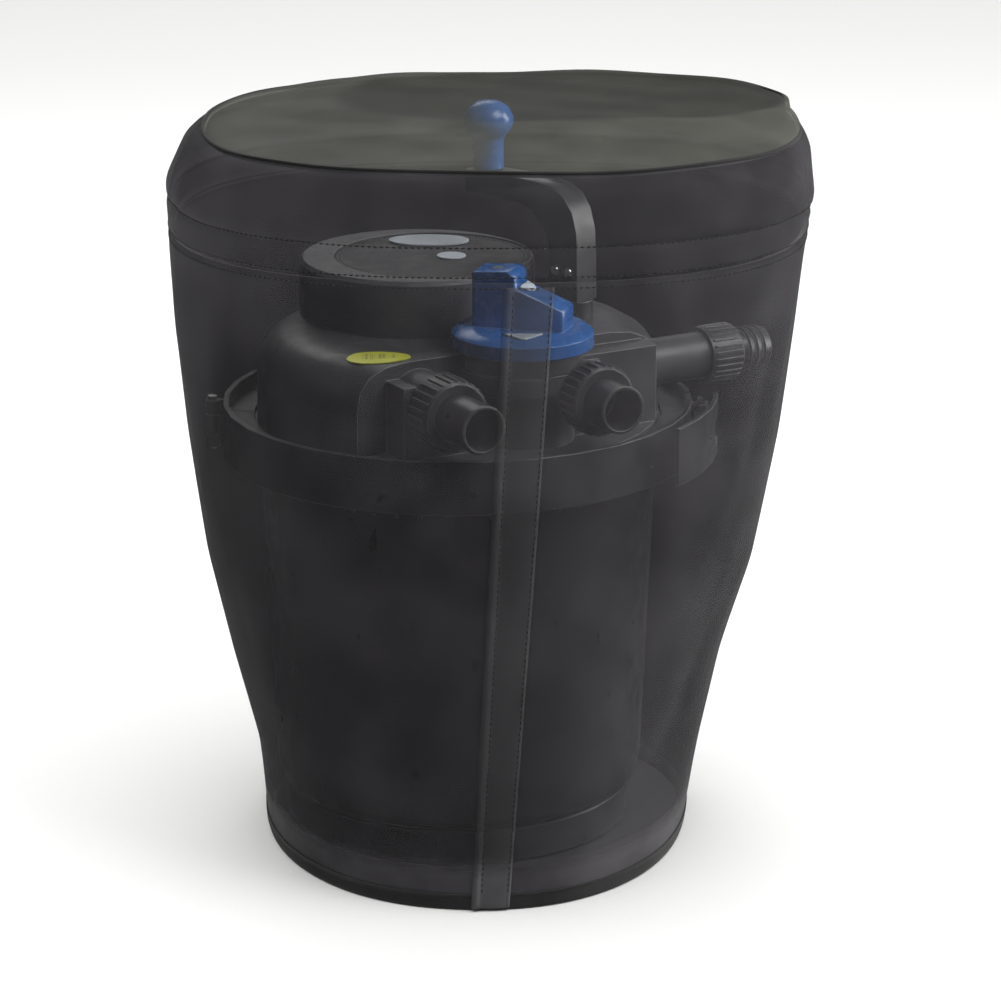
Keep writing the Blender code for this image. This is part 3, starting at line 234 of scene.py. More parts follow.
def printed_label(name, centre, turned_by):
    """Yellow polyester film, printed with rows of short bars under a dull varnish."""
    made, tree, surface, place = start_material(name, IOR=1.5)
    turn = add(tree, "VectorRotate", rotation_type="Z_AXIS", i0=place, i1=centre, i3=turned_by).outputs[0]
    off = add(tree, "VectorMath", operation="SUBTRACT", i0=turn, i1=centre).outputs[0]
    split = add(tree, "SeparateXYZ", i0=off)
    across, up = split.outputs[0], split.outputs[1]
    line = add(tree, "Math", operation="MULTIPLY", i0=up, i1=per(3.0)).outputs[0]
    ink = ramp(tree, add(tree, "Math", operation="FRACT", i0=line).outputs[0], 0.56, 0.6)
    breaks = add(tree, "TexNoise", noise_dimensions="1D", W=across, Scale=per(2.6), Detail=1.0)
    bars = ramp(tree, breaks.outputs["Fac"], 0.5, 0.52)
    inside_x = ramp(tree, add(tree, "Math", operation="ABSOLUTE", i0=across).outputs[0], 0.0125, 0.0120)
    inside_y = ramp(tree, add(tree, "Math", operation="ABSOLUTE", i0=up).outputs[0], 0.0062, 0.0058)
    for part in (bars, inside_x, inside_y):
        ink = add(tree, "Math", operation="MULTIPLY", i0=ink, i1=part).outputs[0]
    fade = noise(tree, place, 16, 3.0)
    film = mixed(tree, ramp(tree, fade, 0.3, 0.7, 0.0, 0.5), linear("#d8dc3c"), linear("#c7c62e"))
    gloss = ramp(tree, fade, 0.3, 0.7, 0.3, 0.42)
    dress(tree, surface, mixed(tree, ink, film, linear("#2b2b1c")), gloss,
          noise(tree, place, 1.2), 0.3, 0.00005)
    return made


label_low, label_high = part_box("rating_label")
# Yellow polyester rating label, with short bars in place of words.
label_film = printed_label("label_film", (label_low + label_high) / 2, math.radians(30))


# ---------------------------------------------------------------- neoprene of the cover

SEEN_THROUGH = 0.5         # how much of the cover is drawn over what stands inside it
HEM_SHUT, HEM_OPEN = 0.028, 0.062    # the skirt is solid below the first, half solid above the second


def knitted(name, dark, light, alpha, hem=False, nap=0.0003, sheen=0.05, crown_painted_shade=False):
    """Neoprene foam faced with nylon jersey: fine knit, soft sheen, mottling and a little lint."""
    made, tree, surface, place = start_material(
        name, IOR=1.45, Specular_IOR_Level=0.3,
        Sheen_Weight=sheen, Sheen_Roughness=0.45, Sheen_Tint=linear("#b9b9b2"))
    # the jersey's loops are 0.5 mm wide; drawn 1.7 mm wide, so that they show
    knit = noise(tree, place, 1.7, 2.0, 0.6)
    patches = noise(tree, place, 70, 4.0, 0.55)
    body = mixed(tree, ramp(tree, patches, 0.36, 0.66), linear(dark), linear(light))
    body = mixed(tree, ramp(tree, knit, 0.4, 0.7, 0.0, 0.3), body, linear(light))
    # painted shade: the lid's middle behind its ridge is drawn darker, standing in for the light it gets
    # less of
    if crown_painted_shade:
        crown_shade_mask = add(tree, "Attribute", attribute_name="crown_painted_shade").outputs["Fac"]
        body = mixed(tree, crown_shade_mask, body, linear("#232320"))
    cells = add(tree, "TexVoronoi", Vector=place, Scale=per(21)).outputs["Distance"]
    lint = ramp(tree, cells, 0.030, 0.020)
    gloss = ramp(tree, knit, 0.3, 0.7, 0.72, 0.9)
    dress(tree, surface, mixed(tree, lint, body, linear("#8f8f8a")), gloss, knit, 0.22, nap)
    if alpha < 1:
        # seen from inside its own thickness, the cloth is solid, so its outline is dark
        behind = add(tree, "NewGeometry").outputs["Backfacing"]
        cover = ramp(tree, behind, 0.0, 1.0, alpha, 1.0)
        if hem:
            height = add(tree, "SeparateXYZ", i0=place).outputs[2]
            low = ramp(tree, height, HEM_SHUT, HEM_OPEN, 1.0, 0.0)
            cover = add(tree, "Math", operation="MAXIMUM", i0=cover, i1=low).outputs[0]
            cover = add(tree, "Math", operation="MINIMUM", i0=cover, i1=1.0).outputs[0]
        tree.links.new(cover, surface.inputs["Alpha"])
    return made


def lining(name, dark, light):
    """The cover's inner face, which shows from the inside only and lets a view from outside through."""
    made, tree, surface, place = start_material(name, IOR=1.45, Specular_IOR_Level=0.2)
    knit = noise(tree, place, 1.7, 2.0, 0.6)
    patches = noise(tree, place, 80, 3.0)
    body = mixed(tree, ramp(tree, patches, 0.35, 0.65), linear(dark), linear(light))
    dress(tree, surface, body, ramp(tree, knit, 0.3, 0.7, 0.75, 0.9), knit, 0.4, 0.0002)
    behind = add(tree, "NewGeometry").outputs["Backfacing"]
    clear = add(tree, "BsdfTransparent")
    both = add(tree, "MixShader", i0=behind, i1=surface.outputs[0], i2=clear.outputs[0])
    tree.links.new(both.outputs[0], tree.nodes["Material Output"].inputs["Surface"])
    return made


# Nylon-faced neoprene: skirt and band, nearly black.
neoprene = knitted("neoprene_jersey", "#2b292c", "#424043", SEEN_THROUGH, hem=True)
# The same cloth on the lid, drawn a lighter, warmer grey: painted light where it faces up. Its dip behind
# the ridge gets painted shade.
neoprene_lid_painted_light_and_shade = knitted("neoprene_lid_jersey_painted_light_and_shade", "#4a4b45", "#5f6058", SEEN_THROUGH + 0.05, crown_painted_shade=True)
# The closing strip, of a newer, lighter piece of cloth.
neoprene_strip = knitted("neoprene_strip_jersey", "#3a3a3c", "#4c4c4e", SEEN_THROUGH - 0.05, hem=True)
# The cloth's inner face.
neoprene_lining = lining("neoprene_lining", "#2a282c", "#373539")
# Polyester binding tape and piping, woven, black.
binding = knitted("polyester_binding", "#151516", "#242425", 1.0, nap=0.0004, sheen=0.1)
# Bonded polyester thread.
thread = knitted("polyester_thread", "#0e0e0f", "#1d1d1e", 1.0, nap=0.0002, sheen=0.15)


# ---------------------------------------------------------------- cover: its plan at each height

TURN = math.radians(-30)      # the cover stands turned on the filter, so its strip faces the front corner
CLOTH = 0.0035                # neoprene thickness
# height, centre, reach to the left, right, front and back, squareness of the plan, and its centre's depth
SKIRT = [(0.0015, 0.0185, 0.1735, 0.1645, 0.2270, 0.1640, 2.15, 0.0),
         (0.0760, 0.0185, 0.1815, 0.1770, 0.2310, 0.1760, 2.20, 0.0),
         (0.1500, 0.0170, 0.1985, 0.1935, 0.2340, 0.1880, 2.25, 0.0),
         (0.2350, 0.0185, 0.2180, 0.2180, 0.2370, 0.2010, 2.32, 0.0),
         (0.3350, 0.0205, 0.2331, 0.2335, 0.2360, 0.2120, 2.40, 0.0),
         (0.4190, 0.0220, 0.2429, 0.2430, 0.2290, 0.2140, 2.45, 0.0),
         (0.4898, 0.0250, 0.2490, 0.2480, 0.2200, 0.2110, 2.50, 0.0)]
BAND = [(0.4902, 0.0250, 0.2490, 0.2480, 0.2200, 0.2110, 2.50, 0.0),
        (0.5260, 0.0270, 0.2515, 0.2505, 0.2150, 0.2090, 2.50, 0.0),
        (0.5530, 0.0305, 0.2425, 0.2440, 0.2070, 0.2030, 2.50, 0.0),
        (0.5605, 0.0320, 0.2360, 0.2380, 0.2000, 0.1970, 2.50, 0.0),
        (0.5650, 0.0330, 0.2290, 0.2330, 0.1880, 0.1900, 2.50, 0.0)]
LID = [(0.5655, 0.0330, 0.2290, 0.2330, 0.1875, 0.1895, 2.50, 0.000),
       (0.5675, 0.0340, 0.2250, 0.2300, 0.1800, 0.1870, 2.45, 0.000),
       (0.5710, 0.0400, 0.2050, 0.2200, 0.1520, 0.1780, 2.25, 0.006),
       (0.5745, 0.0480, 0.1800, 0.2120, 0.1180, 0.1500, 2.10, 0.018),
       (0.5775, 0.0540, 0.1600, 0.2060, 0.0980, 0.1220, 2.05, 0.032),
       (0.5776, 0.0555, 0.1540, 0.2020, 0.0920, 0.1160, 2.05, 0.035),
       (0.5752, 0.0580, 0.1440, 0.1880, 0.0800, 0.1030, 2.05, 0.040),
       (0.5738, 0.0600, 0.1100, 0.1400, 0.0600, 0.0750, 2.05, 0.050),
       (0.5736, 0.0600, 0.0300, 0.0300, 0.0200, 0.0200, 2.05, 0.070),
       (0.5736, 0.0600, 0.0020, 0.0020, 0.0020, 0.0020, 2.05, 0.070)]
AROUND = 360                  # points round each level
LID_LEVELS = 90
CROWN_REACH, CROWN_FADE = 0.098, 0.012     # where the lid's painted shade starts, inward of its ridge, and how softly
CROWN_SHADE = 0.55


def levels(rows, count, soften):
    """Rows of a plan filled in between and softened, so that the profile has no corners."""
    table = np.array(rows)
    step = np.hypot(np.diff(table[:, 0]), np.diff(table[:, 4]))
    run = np.concatenate([[0], np.cumsum(np.maximum(step, 1e-4))])
    at = np.linspace(0, run[-1], count)
    filled = np.stack([np.interp(at, run, table[:, k]) for k in range(table.shape[1])], axis=1)
    for _ in range(soften):
        filled[1:-1] = (filled[:-2] + 2 * filled[1:-1] + filled[2:]) / 4
    return filled


def plan(row, angle):
    """Points of one level's outline. Angle 0 is the right, -90 degrees the front."""
    c, s = np.cos(angle), np.sin(angle)
    power = 2 / row[..., 6]
    u = row[..., 1] + np.where(c > 0, row[..., 3], row[..., 2]) * np.sign(c) * np.abs(c) ** power
    w = row[..., 7] + np.where(s > 0, row[..., 5], row[..., 4]) * np.sign(s) * np.abs(s) ** power
    return np.stack([u * math.cos(TURN) - w * math.sin(TURN), u * math.sin(TURN) + w * math.cos(TURN),
                     np.broadcast_to(row[..., 0], u.shape)], axis=-1)


# soft folds of the cloth: angle, height, lean from upright (degrees), length, width, rise (mm)
FOLDS = [(-22, 0.430, 6, 150, 13, 3.2), (-31, 0.420, 4, 170, 14, -2.6), (-40, 0.300, 18, 190, 22, 2.2),
         (-58, 0.200, 38, 170, 17, 1.8), (-70, 0.130, 52, 140, 15, -1.8), (-52, 0.095, 40, 120, 14, 2.0),
         (-34, 0.160, 24, 160, 18, -2.4), (-150, 0.330, -5, 230, 18, -2.4), (-140, 0.180, -12, 200, 20, 2.0),
         (-122, 0.110, -20, 150, 18, -1.6), (-163, 0.430, -8, 120, 14, 2.4), (-10, 0.240, 12, 220, 18, -2.6),
         (18, 0.330, -10, 240, 20, 3.0), (40, 0.220, 8, 260, 24, -3.0), (66, 0.360, -14, 220, 20, 2.6),
         (90, 0.180, 10, 230, 26, 2.8), (112, 0.330, -6, 240, 20, -3.0), (135, 0.250, 14, 240, 24, 2.8),
         (155, 0.380, -10, 170, 18, -2.6), (170, 0.160, 8, 210, 20, 2.2), (-104, 0.400, 10, 120, 20, -1.2),
         (-15, 0.522, 20, 60, 12, 2.2), (-165, 0.525, -25, 60, 12, -2.0), (-60, 0.540, 70, 110, 9, 1.3),
         (60, 0.520, 30, 80, 14, 2.0), (120, 0.525, -30, 80, 14, -2.0)]
GIRTH = 0.245                 # mean half-width of the cover, which turns an angle into a run of cloth
SEAM = 0.4900                 # height of the seam between skirt and band
TOPSTITCH = 0.5150            # height of the line of stitching on the band


def fold_rise(angle, height):
    """How far the cloth stands out of its plain shape at a place, in metres."""
    rise = 0.0007 * np.sin(5 * angle + 9 * height) + 0.0005 * np.sin(9 * angle - 17 * height + 1.1)
    for at, z, lean, length, width, up in FOLDS:
        du = (angle - math.radians(at) + math.pi) % (2 * math.pi) - math.pi
        across, along = du * GIRTH, height - z
        tilt = math.radians(lean)
        side = across * math.cos(tilt) - along * math.sin(tilt)
        run = across * math.sin(tilt) + along * math.cos(tilt)
        rise = rise + up / 1000 * np.exp(-(side / (width / 1000)) ** 2 - (run / (length / 2000)) ** 2)
    return rise


def outward(points):
    """Normals of a closed-round grid of points, pointing out."""
    round_way = np.roll(points, -1, axis=1) - np.roll(points, 1, axis=1)
    up_way = np.gradient(points, axis=0)
    normal = np.cross(round_way, up_way)
    return normal / np.maximum(np.linalg.norm(normal, axis=2, keepdims=True), 1e-9)


def wall(rows, count, soften, pinch):
    """A ring of cloth from its rows: outer points and their normals.

    A pinch is the height, the depth and the width of a line pulled in by stitching.
    """
    filled = levels(rows, count, soften)
    angle = np.linspace(-math.pi, math.pi, AROUND, endpoint=False)
    grid = plan(filled[:, None, :], angle[None, :])
    normal = outward(grid)
    rise = fold_rise(angle[None, :], grid[..., 2])
    fade = np.minimum(1, np.abs(grid[..., 2] - SEAM) / 0.018)      # the sewn seam holds the folds flat
    rise = rise * fade * np.minimum(1, np.maximum(0.15, grid[..., 2] / 0.05))
    for z, depth, width in pinch:
        rise = rise - depth * np.exp(-((grid[..., 2] - z) / width) ** 2)
    return grid + normal * rise[..., None], normal


def build(name, vertices, faces, materials, slots=None, smooth=True):
    """A mesh object from points and faces."""
    mesh = bpy.data.meshes.new(name)
    mesh.from_pydata([tuple(v) for v in vertices], [], faces)
    for material in materials:
        mesh.materials.append(material)
    mesh.polygons.foreach_set("use_smooth", [smooth] * len(mesh.polygons))
    if slots is not None:
        mesh.polygons.foreach_set("material_index", slots)
    mesh.update()
    made = bpy.data.objects.new(name, mesh)
    bpy.context.scene.collection.objects.link(made)
    return made


def quads(rows, columns, start=0, flip=False, closed=True):
    """Faces of a grid of points, closed round or open."""
    faces = []
    for i in range(rows - 1):
        for j in range(columns if closed else columns - 1):
            k = (j + 1) % columns
            face = [start + i * columns + j, start + i * columns + k,
                    start + (i + 1) * columns + k, start + (i + 1) * columns + j]
            faces.append(face[::-1] if flip else face)
    return faces


def cloth_ring(name, points, normal, thickness, outer, inner):
    """A closed shell of cloth round the cover, with its lining."""
    rows, columns = points.shape[:2]
    vertices = np.concatenate([points.reshape(-1, 3), (points - normal * thickness).reshape(-1, 3)])
    size = rows * columns
    faces = quads(rows, columns) + quads(rows, columns, size, flip=True)
    slots = [0] * (len(faces) // 2) + [1] * (len(faces) // 2)
    for i, turned in ((0, True), (rows - 1, False)):
        for j in range(columns):
            k = (j + 1) % columns
            face = [i * columns + j, i * columns + k, size + i * columns + k, size + i * columns + j]
            faces.append(face[::-1] if turned else face)
            slots.append(0)
    return build(name, vertices, faces, [outer, inner], slots)


skirt_points, skirt_normal = wall(SKIRT, 130, 5, pinch=((0.4898, 0.0022, 0.0028),))
cover_skirt = cloth_ring("cover_skirt_cloth", skirt_points, skirt_normal, CLOTH, neoprene, neoprene_lining)
band_points, band_normal = wall(BAND, 70, 5,
                                pinch=((0.4902, 0.0022, 0.0028), (TOPSTITCH, 0.0018, 0.0026)))
cover_band = cloth_ring("cover_band_cloth", band_points, band_normal, CLOTH, neoprene, neoprene_lining)


def lid_cloth():
    """The lid: up from its seam over a front slope to a ridge, with a slack dip behind it that carries
    painted shade.
    """
    filled = levels(LID, LID_LEVELS, 3)
    angle = np.linspace(-math.pi, math.pi, AROUND, endpoint=False)
    grid = plan(filled[:, None, :], angle[None, :])
    x, y = grid[..., 0], grid[..., 1]
    ripple = (0.0009 * np.sin(x * 34 + y * 11) + 0.0007 * np.sin(y * 47 - x * 19 + 0.8)
              + 0.0005 * np.sin(x * 83 + y * 61))
    grid[..., 2] += ripple * np.minimum(1, np.arange(LID_LEVELS) / 12)[:, None]
    normal = outward(grid)
    size = grid.shape[0] * AROUND
    centre = grid[-1].mean(axis=0)
    vertices = np.concatenate([grid.reshape(-1, 3), (grid - normal * CLOTH).reshape(-1, 3),
                               [centre], [centre - (0, 0, CLOTH)]])
    faces = quads(LID_LEVELS, AROUND) + quads(LID_LEVELS, AROUND, size, flip=True)
    slots = [0] * (len(faces) // 2) + [1] * (len(faces) // 2)
    last = size - AROUND
    for j in range(AROUND):
        k = (j + 1) % AROUND
        faces += [[k, j, size + j, size + k], [last + j, last + k, 2 * size],
                  [size + last + k, size + last + j, 2 * size + 1]]
        slots += [0, 0, 1]
    made = build("cover_lid_cloth", vertices, faces, [neoprene_lid_painted_light_and_shade, neoprene_lining], slots)
    # how much painted shade each point of the lid's middle gets, kept for its material
    inward = (filled[:, 4] - CROWN_REACH) / -CROWN_FADE
    level = np.repeat(np.clip(inward, 0, 1) * CROWN_SHADE, AROUND)
    crown_painted_shade = made.data.attributes.new("crown_painted_shade", "FLOAT", "POINT")
    shade = np.concatenate([level, level, [CROWN_SHADE, CROWN_SHADE]])
    crown_painted_shade.data.foreach_set("value", shade.astype(np.float32))
    return made


cover_lid = lid_cloth()


def tube(name, path, radius, material, sides=8, closed=True):
    """A round cord along a closed path."""
    count = len(path)
    ahead = np.roll(path, -1, axis=0) - np.roll(path, 1, axis=0)
    ahead /= np.linalg.norm(ahead, axis=1, keepdims=True)
    side = np.cross(ahead, (0, 0, 1.0))
    side /= np.linalg.norm(side, axis=1, keepdims=True)
    up = np.cross(side, ahead)
    turn = np.linspace(0, 2 * math.pi, sides, endpoint=False)
    ring = (side[:, None] * np.cos(turn)[None, :, None] + up[:, None] * np.sin(turn)[None, :, None])
    vertices = (path[:, None] + ring * radius).reshape(-1, 3)
    grid = quads(count, sides)
    grid += [[(count - 1) * sides + j, (count - 1) * sides + (j + 1) % sides, (j + 1) % sides, j]
             for j in range(sides)]
    return build(name, vertices, grid, [material])


seam = (band_points[-1] + np.array((0, 0, 0.0002)))
cover_piping = tube("cover_piping", seam, 0.0016, binding)


def skirt_at(angle, height):
    """Points of the skirt's outer face and the way out of it, at any angles and heights."""
    angle, height = np.broadcast_arrays(angle, height)
    column = (angle + math.pi) / (2 * math.pi) * AROUND
    z_rows = skirt_points[:, 0, 2]
    row = np.interp(height, z_rows, np.arange(len(z_rows)))
    i0 = np.clip(np.floor(row).astype(int), 0, len(z_rows) - 2)
    j0 = np.floor(column).astype(int) % AROUND
    fi, fj = (row - i0)[..., None], (column - np.floor(column))[..., None]
    found = []
    for table in (skirt_points, skirt_normal):
        low = table[i0, j0] * (1 - fj) + table[i0, (j0 + 1) % AROUND] * fj
        high = table[i0 + 1, j0] * (1 - fj) + table[i0 + 1, (j0 + 1) % AROUND] * fj
        found.append(low * (1 - fi) + high * fi)
    return found


def angle_at(u, height):
    """Angle at which the skirt's front passes a place measured across the cover."""
    row = [np.interp(height, [r[0] for r in SKIRT], [r[k] for r in SKIRT]) for k in range(7)]
    gap = u - row[1]
    reach = np.where(gap > 0, row[3], row[2])
    c = np.sign(gap) * (np.abs(gap) / reach) ** (row[6] / 2)
    return -np.arccos(c)


STRIP_LOW, STRIP_TOP = 0.003, 0.487
STRIP_LEFT, STRIP_RIGHT = (0.0115, 0.036), (0.0405, 0.0735)       # at the hem and at the top


def strip_edge(edge, height):
    return np.interp(height, (STRIP_LOW, STRIP_TOP), edge)


def strip_cloth():
    """The closing strip: a raised welt down its left edge and a thin lip, sewn down, at its right."""
    height = np.linspace(STRIP_LOW, STRIP_TOP, 130)
    share = np.array([0, .02, .05, .09, .13, .17, .21, .26, .34,
                      .45, .58, .70, .80, .87, .91, .94, .97, 1.0])
    lift = np.array([1.2, 3.2, 4.6, 5.3, 5.2, 4.4, 3.4, 3.1, 3.2,
                     3.4, 3.5, 3.4, 3.2, 3.0, 2.7, 3.0, 2.8, 1.6])
    left, right = strip_edge(STRIP_LEFT, height), strip_edge(STRIP_RIGHT, height)
    u = left[:, None] + (right - left)[:, None] * share[None, :]
    angle = angle_at(u, height[:, None])
    place, normal = skirt_at(angle, np.broadcast_to(height[:, None], u.shape))
    wave = 0.0003 * np.sin(height * 60)[:, None]
    outer = place + normal * (lift[None, :] / 1000 + wave)[..., None]
    inner = place + normal * 0.0009
    rows, columns = u.shape
    size = rows * columns
    vertices = np.concatenate([outer.reshape(-1, 3), inner.reshape(-1, 3)])
    faces = quads(rows, columns, closed=False) + quads(rows, columns, size, flip=True, closed=False)
    slots = [0] * (len(faces) // 2) + [1] * (len(faces) // 2)
    rim = ([(0, j) for j in range(columns)] + [(i, columns - 1) for i in range(1, rows)]
           + [(rows - 1, j) for j in range(columns - 2, -1, -1)] + [(i, 0) for i in range(rows - 2, 0, -1)])
    for (a, b), (c, d) in zip(rim, rim[1:] + rim[:1]):
        faces.append([c * columns + d, a * columns + b, size + a * columns + b, size + c * columns + d])
        slots.append(0)
    return build("cover_strip_cloth", vertices, faces, [neoprene_strip, neoprene_lining], slots)


cover_strip = strip_cloth()


def hem_binding():
    """Folded tape sewn over the skirt's lower edge."""
    angle = np.linspace(-math.pi, math.pi, AROUND, endpoint=False)
    section = [(1.0, 13.0), (1.3, 9.0), (1.3, 4.0), (0.7, 0.9), (-1.7, 0.4), (-4.2, 0.9), (-4.8, 4.0),
               (-4.8, 9.0), (-4.5, 13.0), (-3.3, 13.4), (-0.2, 13.4)]
    rings = []
    for out_mm, z_mm in section:
        place, normal = skirt_at(angle, np.full(AROUND, max(z_mm / 1000, 0.0016)))
        flat = normal * (1, 1, 0)
        flat /= np.linalg.norm(flat, axis=1, keepdims=True)
        point = place + flat * out_mm / 1000
        point[:, 2] = z_mm / 1000
        rings.append(point)
    vertices = np.array(rings).reshape(-1, 3)
    count = len(section)
    faces = quads(count, AROUND, flip=True)
    faces += [[(count - 1) * AROUND + (j + 1) % AROUND, (count - 1) * AROUND + j, j, (j + 1) % AROUND][::-1]
              for j in range(AROUND)]
    return build("cover_hem_binding", vertices, faces, [binding])


cover_hem = hem_binding()


def stitches(name, runs, length=0.0031, gap=0.0015, radius=0.0006):
    """Lockstitch: short, slightly sunk dashes of thread along runs of points with their normals."""
    vertices, faces = [], []
    for path, normal, closed in runs:
        if closed:
            path, normal = np.vstack([path, path[:1]]), np.vstack([normal, normal[:1]])
        run = np.concatenate([[0], np.cumsum(np.linalg.norm(np.diff(path, axis=0), axis=1))])
        pitch = length + gap
        for n in range(int(run[-1] / pitch)):
            at = n * pitch + np.array([0.02, 0.3, 0.7, 0.98]) * length
            line = np.stack([np.interp(at, run, path[:, k]) for k in range(3)], axis=1)
            away = np.stack([np.interp(at, run, normal[:, k]) for k in range(3)], axis=1)
            line = line + away * np.array([-0.0002, 0.0003, 0.0003, -0.0002])[:, None]
            ahead = line[-1] - line[0]
            ahead /= np.linalg.norm(ahead)
            side = np.cross(ahead, away[1])
            base = len(vertices)
            for point, up, size in zip(line, away, (0.5, 1, 1, 0.5)):
                for k in range(5):
                    turn = 2 * math.pi * k / 5
                    vertices.append(point + (side * math.cos(turn) + up * math.sin(turn)) * radius * size)
            faces += quads(4, 5, base)
            faces += [[base + k for k in range(4, -1, -1)], [base + 15 + k for k in range(5)]]
    return build(name, np.array(vertices), faces, [thread])


def row_at(points, normal, z):
    """The ring of a wall nearest to a height."""
    i = int(np.argmin(np.abs(points[:, 0, 2] - z)))
    return points[i], normal[i], True


def up_strip(edge, inset, lift):
    height = np.linspace(0.016, STRIP_TOP - 0.003, 200)
    place, normal = skirt_at(angle_at(strip_edge(edge, height) + inset, height), height)
    return place + normal * lift, normal, False


cover_stitching = stitches("cover_stitching", [
    row_at(band_points, band_normal, TOPSTITCH), row_at(band_points, band_normal, 0.4935),
    row_at(skirt_points, skirt_normal, 0.4862),
    up_strip(STRIP_RIGHT, -0.0022, 0.0029), up_strip(STRIP_LEFT, 0.0076, 0.0034)])
cover_pieces = [cover_skirt, cover_band, cover_lid, cover_strip,
                cover_piping, cover_hem, cover_stitching]
for piece in cover_pieces:
    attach(piece, "cover")
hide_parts("cover_skirt")
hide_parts("cover_band")
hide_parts("cover_lid")
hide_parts("cover_placket")


# ---------------------------------------------------------------- finishes of the filter's own parts

# The lamp housing's cap is matt and pitted, darker than the housing.
cap_pp = moulded("pitted_cap", "#1b1b1d", "#5c5c60", 0.55, grain=2.2, depth=0.0004)

FINISH = {"black_plastic": black_pp, "satin_plastic": satin_abs, "blue_plastic": blue_abs,
          "pale_plastic": pale_abs, "steel": steel, "seal_rubber": epdm, "nylon": nylon,
          "cage_plastic": cage_pp, "foam_blue": foam_blue, "foam_red": foam_red, "quartz": quartz,
          "lamp_glass": lamp_glass, "ceramic": ceramic, "label_film": label_film}
for node in nodes.values():
    for place in node.material_slots:
        if place.material and place.material.name in FINISH:
            place.material = FINISH[place.material.name]
for place in nodes["uvc_cap"].material_slots:
    place.material = cap_pp

CORNER = math.radians(40)     # facets that meet at less than this are one round surface


def shaded_round(name, body):
    """A part's own shape, its facets shaded as the round surfaces they stand for."""
    source = nodes[name].data
    mesh = bpy.data.meshes.new(name + "_shape")
    mesh.from_pydata([v.co[:] for v in source.vertices], [], [p.vertices[:] for p in source.polygons])
    for material in source.materials:
        mesh.materials.append(material)
    work = bmesh.new()
    work.from_mesh(mesh)
    bmesh.ops.remove_doubles(work, verts=work.verts, dist=1e-6)
    for edge in work.edges:
        edge.smooth = len(edge.link_faces) == 2 and edge.calc_face_angle(0) < CORNER
    for face in work.faces:
        face.smooth = True
    work.to_mesh(mesh)
    work.free()
    made = bpy.data.objects.new(name + "_shaded", mesh)
    bpy.context.scene.collection.objects.link(made)
    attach(made, body)
    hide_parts(name)


for body, members in frame["record"]["behaviour"]["bodies"].items():
    for name in members if body != "cover" else ():
        shaded_round(name, body)


# ---------------------------------------------------------------- small mouldings on the filter

def wedge_ring(name, centre, radius, count, width, run, low, high, material, body):
    """Small wedges evenly round a wall: full depth at the top, fading into the wall at the bottom."""
    vertices, faces = [], []
    for n in range(count):
        a = 2 * math.pi * (n + 0.5) / count
        away = np.array((math.cos(a), math.sin(a), 0))
        side = np.array((-math.sin(a), math.cos(a), 0)) * width / 2
        base = len(vertices)
        for edge in (-1, 1):
            for depth, z in ((-0.001, low), (0.0002, low), (run, high), (-0.001, high)):
                vertices.append(np.array((*centre, z)) + away * (radius + depth) + side * edge)
        faces += [[base + k for k in (3, 2, 1, 0)], [base + k for k in (4, 5, 6, 7)]]
        faces += [[base + k, base + (k + 1) % 4, base + 4 + (k + 1) % 4, base + 4 + k] for k in range(4)]
    made = build(name, np.array(vertices), faces, [material], smooth=False)
    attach(made, body)
    return made


def nut_ribs(nut, axis, body):
    """Grip ribs round a union nut, along its axis."""
    low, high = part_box(nut)
    ends = (low[axis] + 0.0022, high[axis] - 0.0022)
    others = [k for k in range(3) if k != axis]
    centre = [(low[k] + high[k]) / 2 for k in others]
    radius = (high[others[1]] - low[others[1]]) / 2
    count, wide, proud = 26, 0.0026, 0.0011
    vertices, faces = [], []
    for n in range(count):
        a = 2 * math.pi * n / count
        base = len(vertices)
        for end, taper in ((ends[0], 0), (ends[0] + 0.0012, 1), (ends[1] - 0.0012, 1), (ends[1], 0)):
            for side, rise in ((-0.5, -0.0008), (-0.32, proud * taper - 0.0002),
                               (0.32, proud * taper - 0.0002),
                               (0.5, -0.0008)):
                t = a + side * wide / radius
                point = [0.0, 0.0, 0.0]
                point[axis] = end
                point[others[0]] = centre[0] + (radius + rise) * math.cos(t)
                point[others[1]] = centre[1] + (radius + rise) * math.sin(t)
                vertices.append(point)
        faces += quads(4, 4, base, flip=axis == 0)
        caps = [[base + k for k in range(4)], [base + 15 - k for k in range(4)]]
        faces += [cap if axis == 0 else cap[::-1] for cap in caps]
    made = build(nut + "_ribs", np.array(vertices), faces, [black_pp], smooth=False)
    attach(made, body)


nut_ribs("union_nut_left", 1, "nut_left")
nut_ribs("union_nut_right", 1, "nut_right")
nut_ribs("union_nut_waste", 0, "nut_waste")

tank_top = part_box("tank")[1][2]
clamp_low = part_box("clamp_front")[0][2]
WALL_RISE = 0.0105 / 0.29          # the drum widens by this much for each metre of height
WALL_AT_TOP = 0.158
under_clamp = clamp_low - 0.0008
# stiffening gussets on the drum's wall, just under the clamp ring
GUSSETS = 54
drum_wall = WALL_AT_TOP - WALL_RISE * (tank_top - under_clamp) - 0.0002
wedge_ring("drum_gussets", (0, 0), drum_wall, GUSSETS,
                   0.0024, 0.006, under_clamp - 0.011, under_clamp, black_pp, "filter")


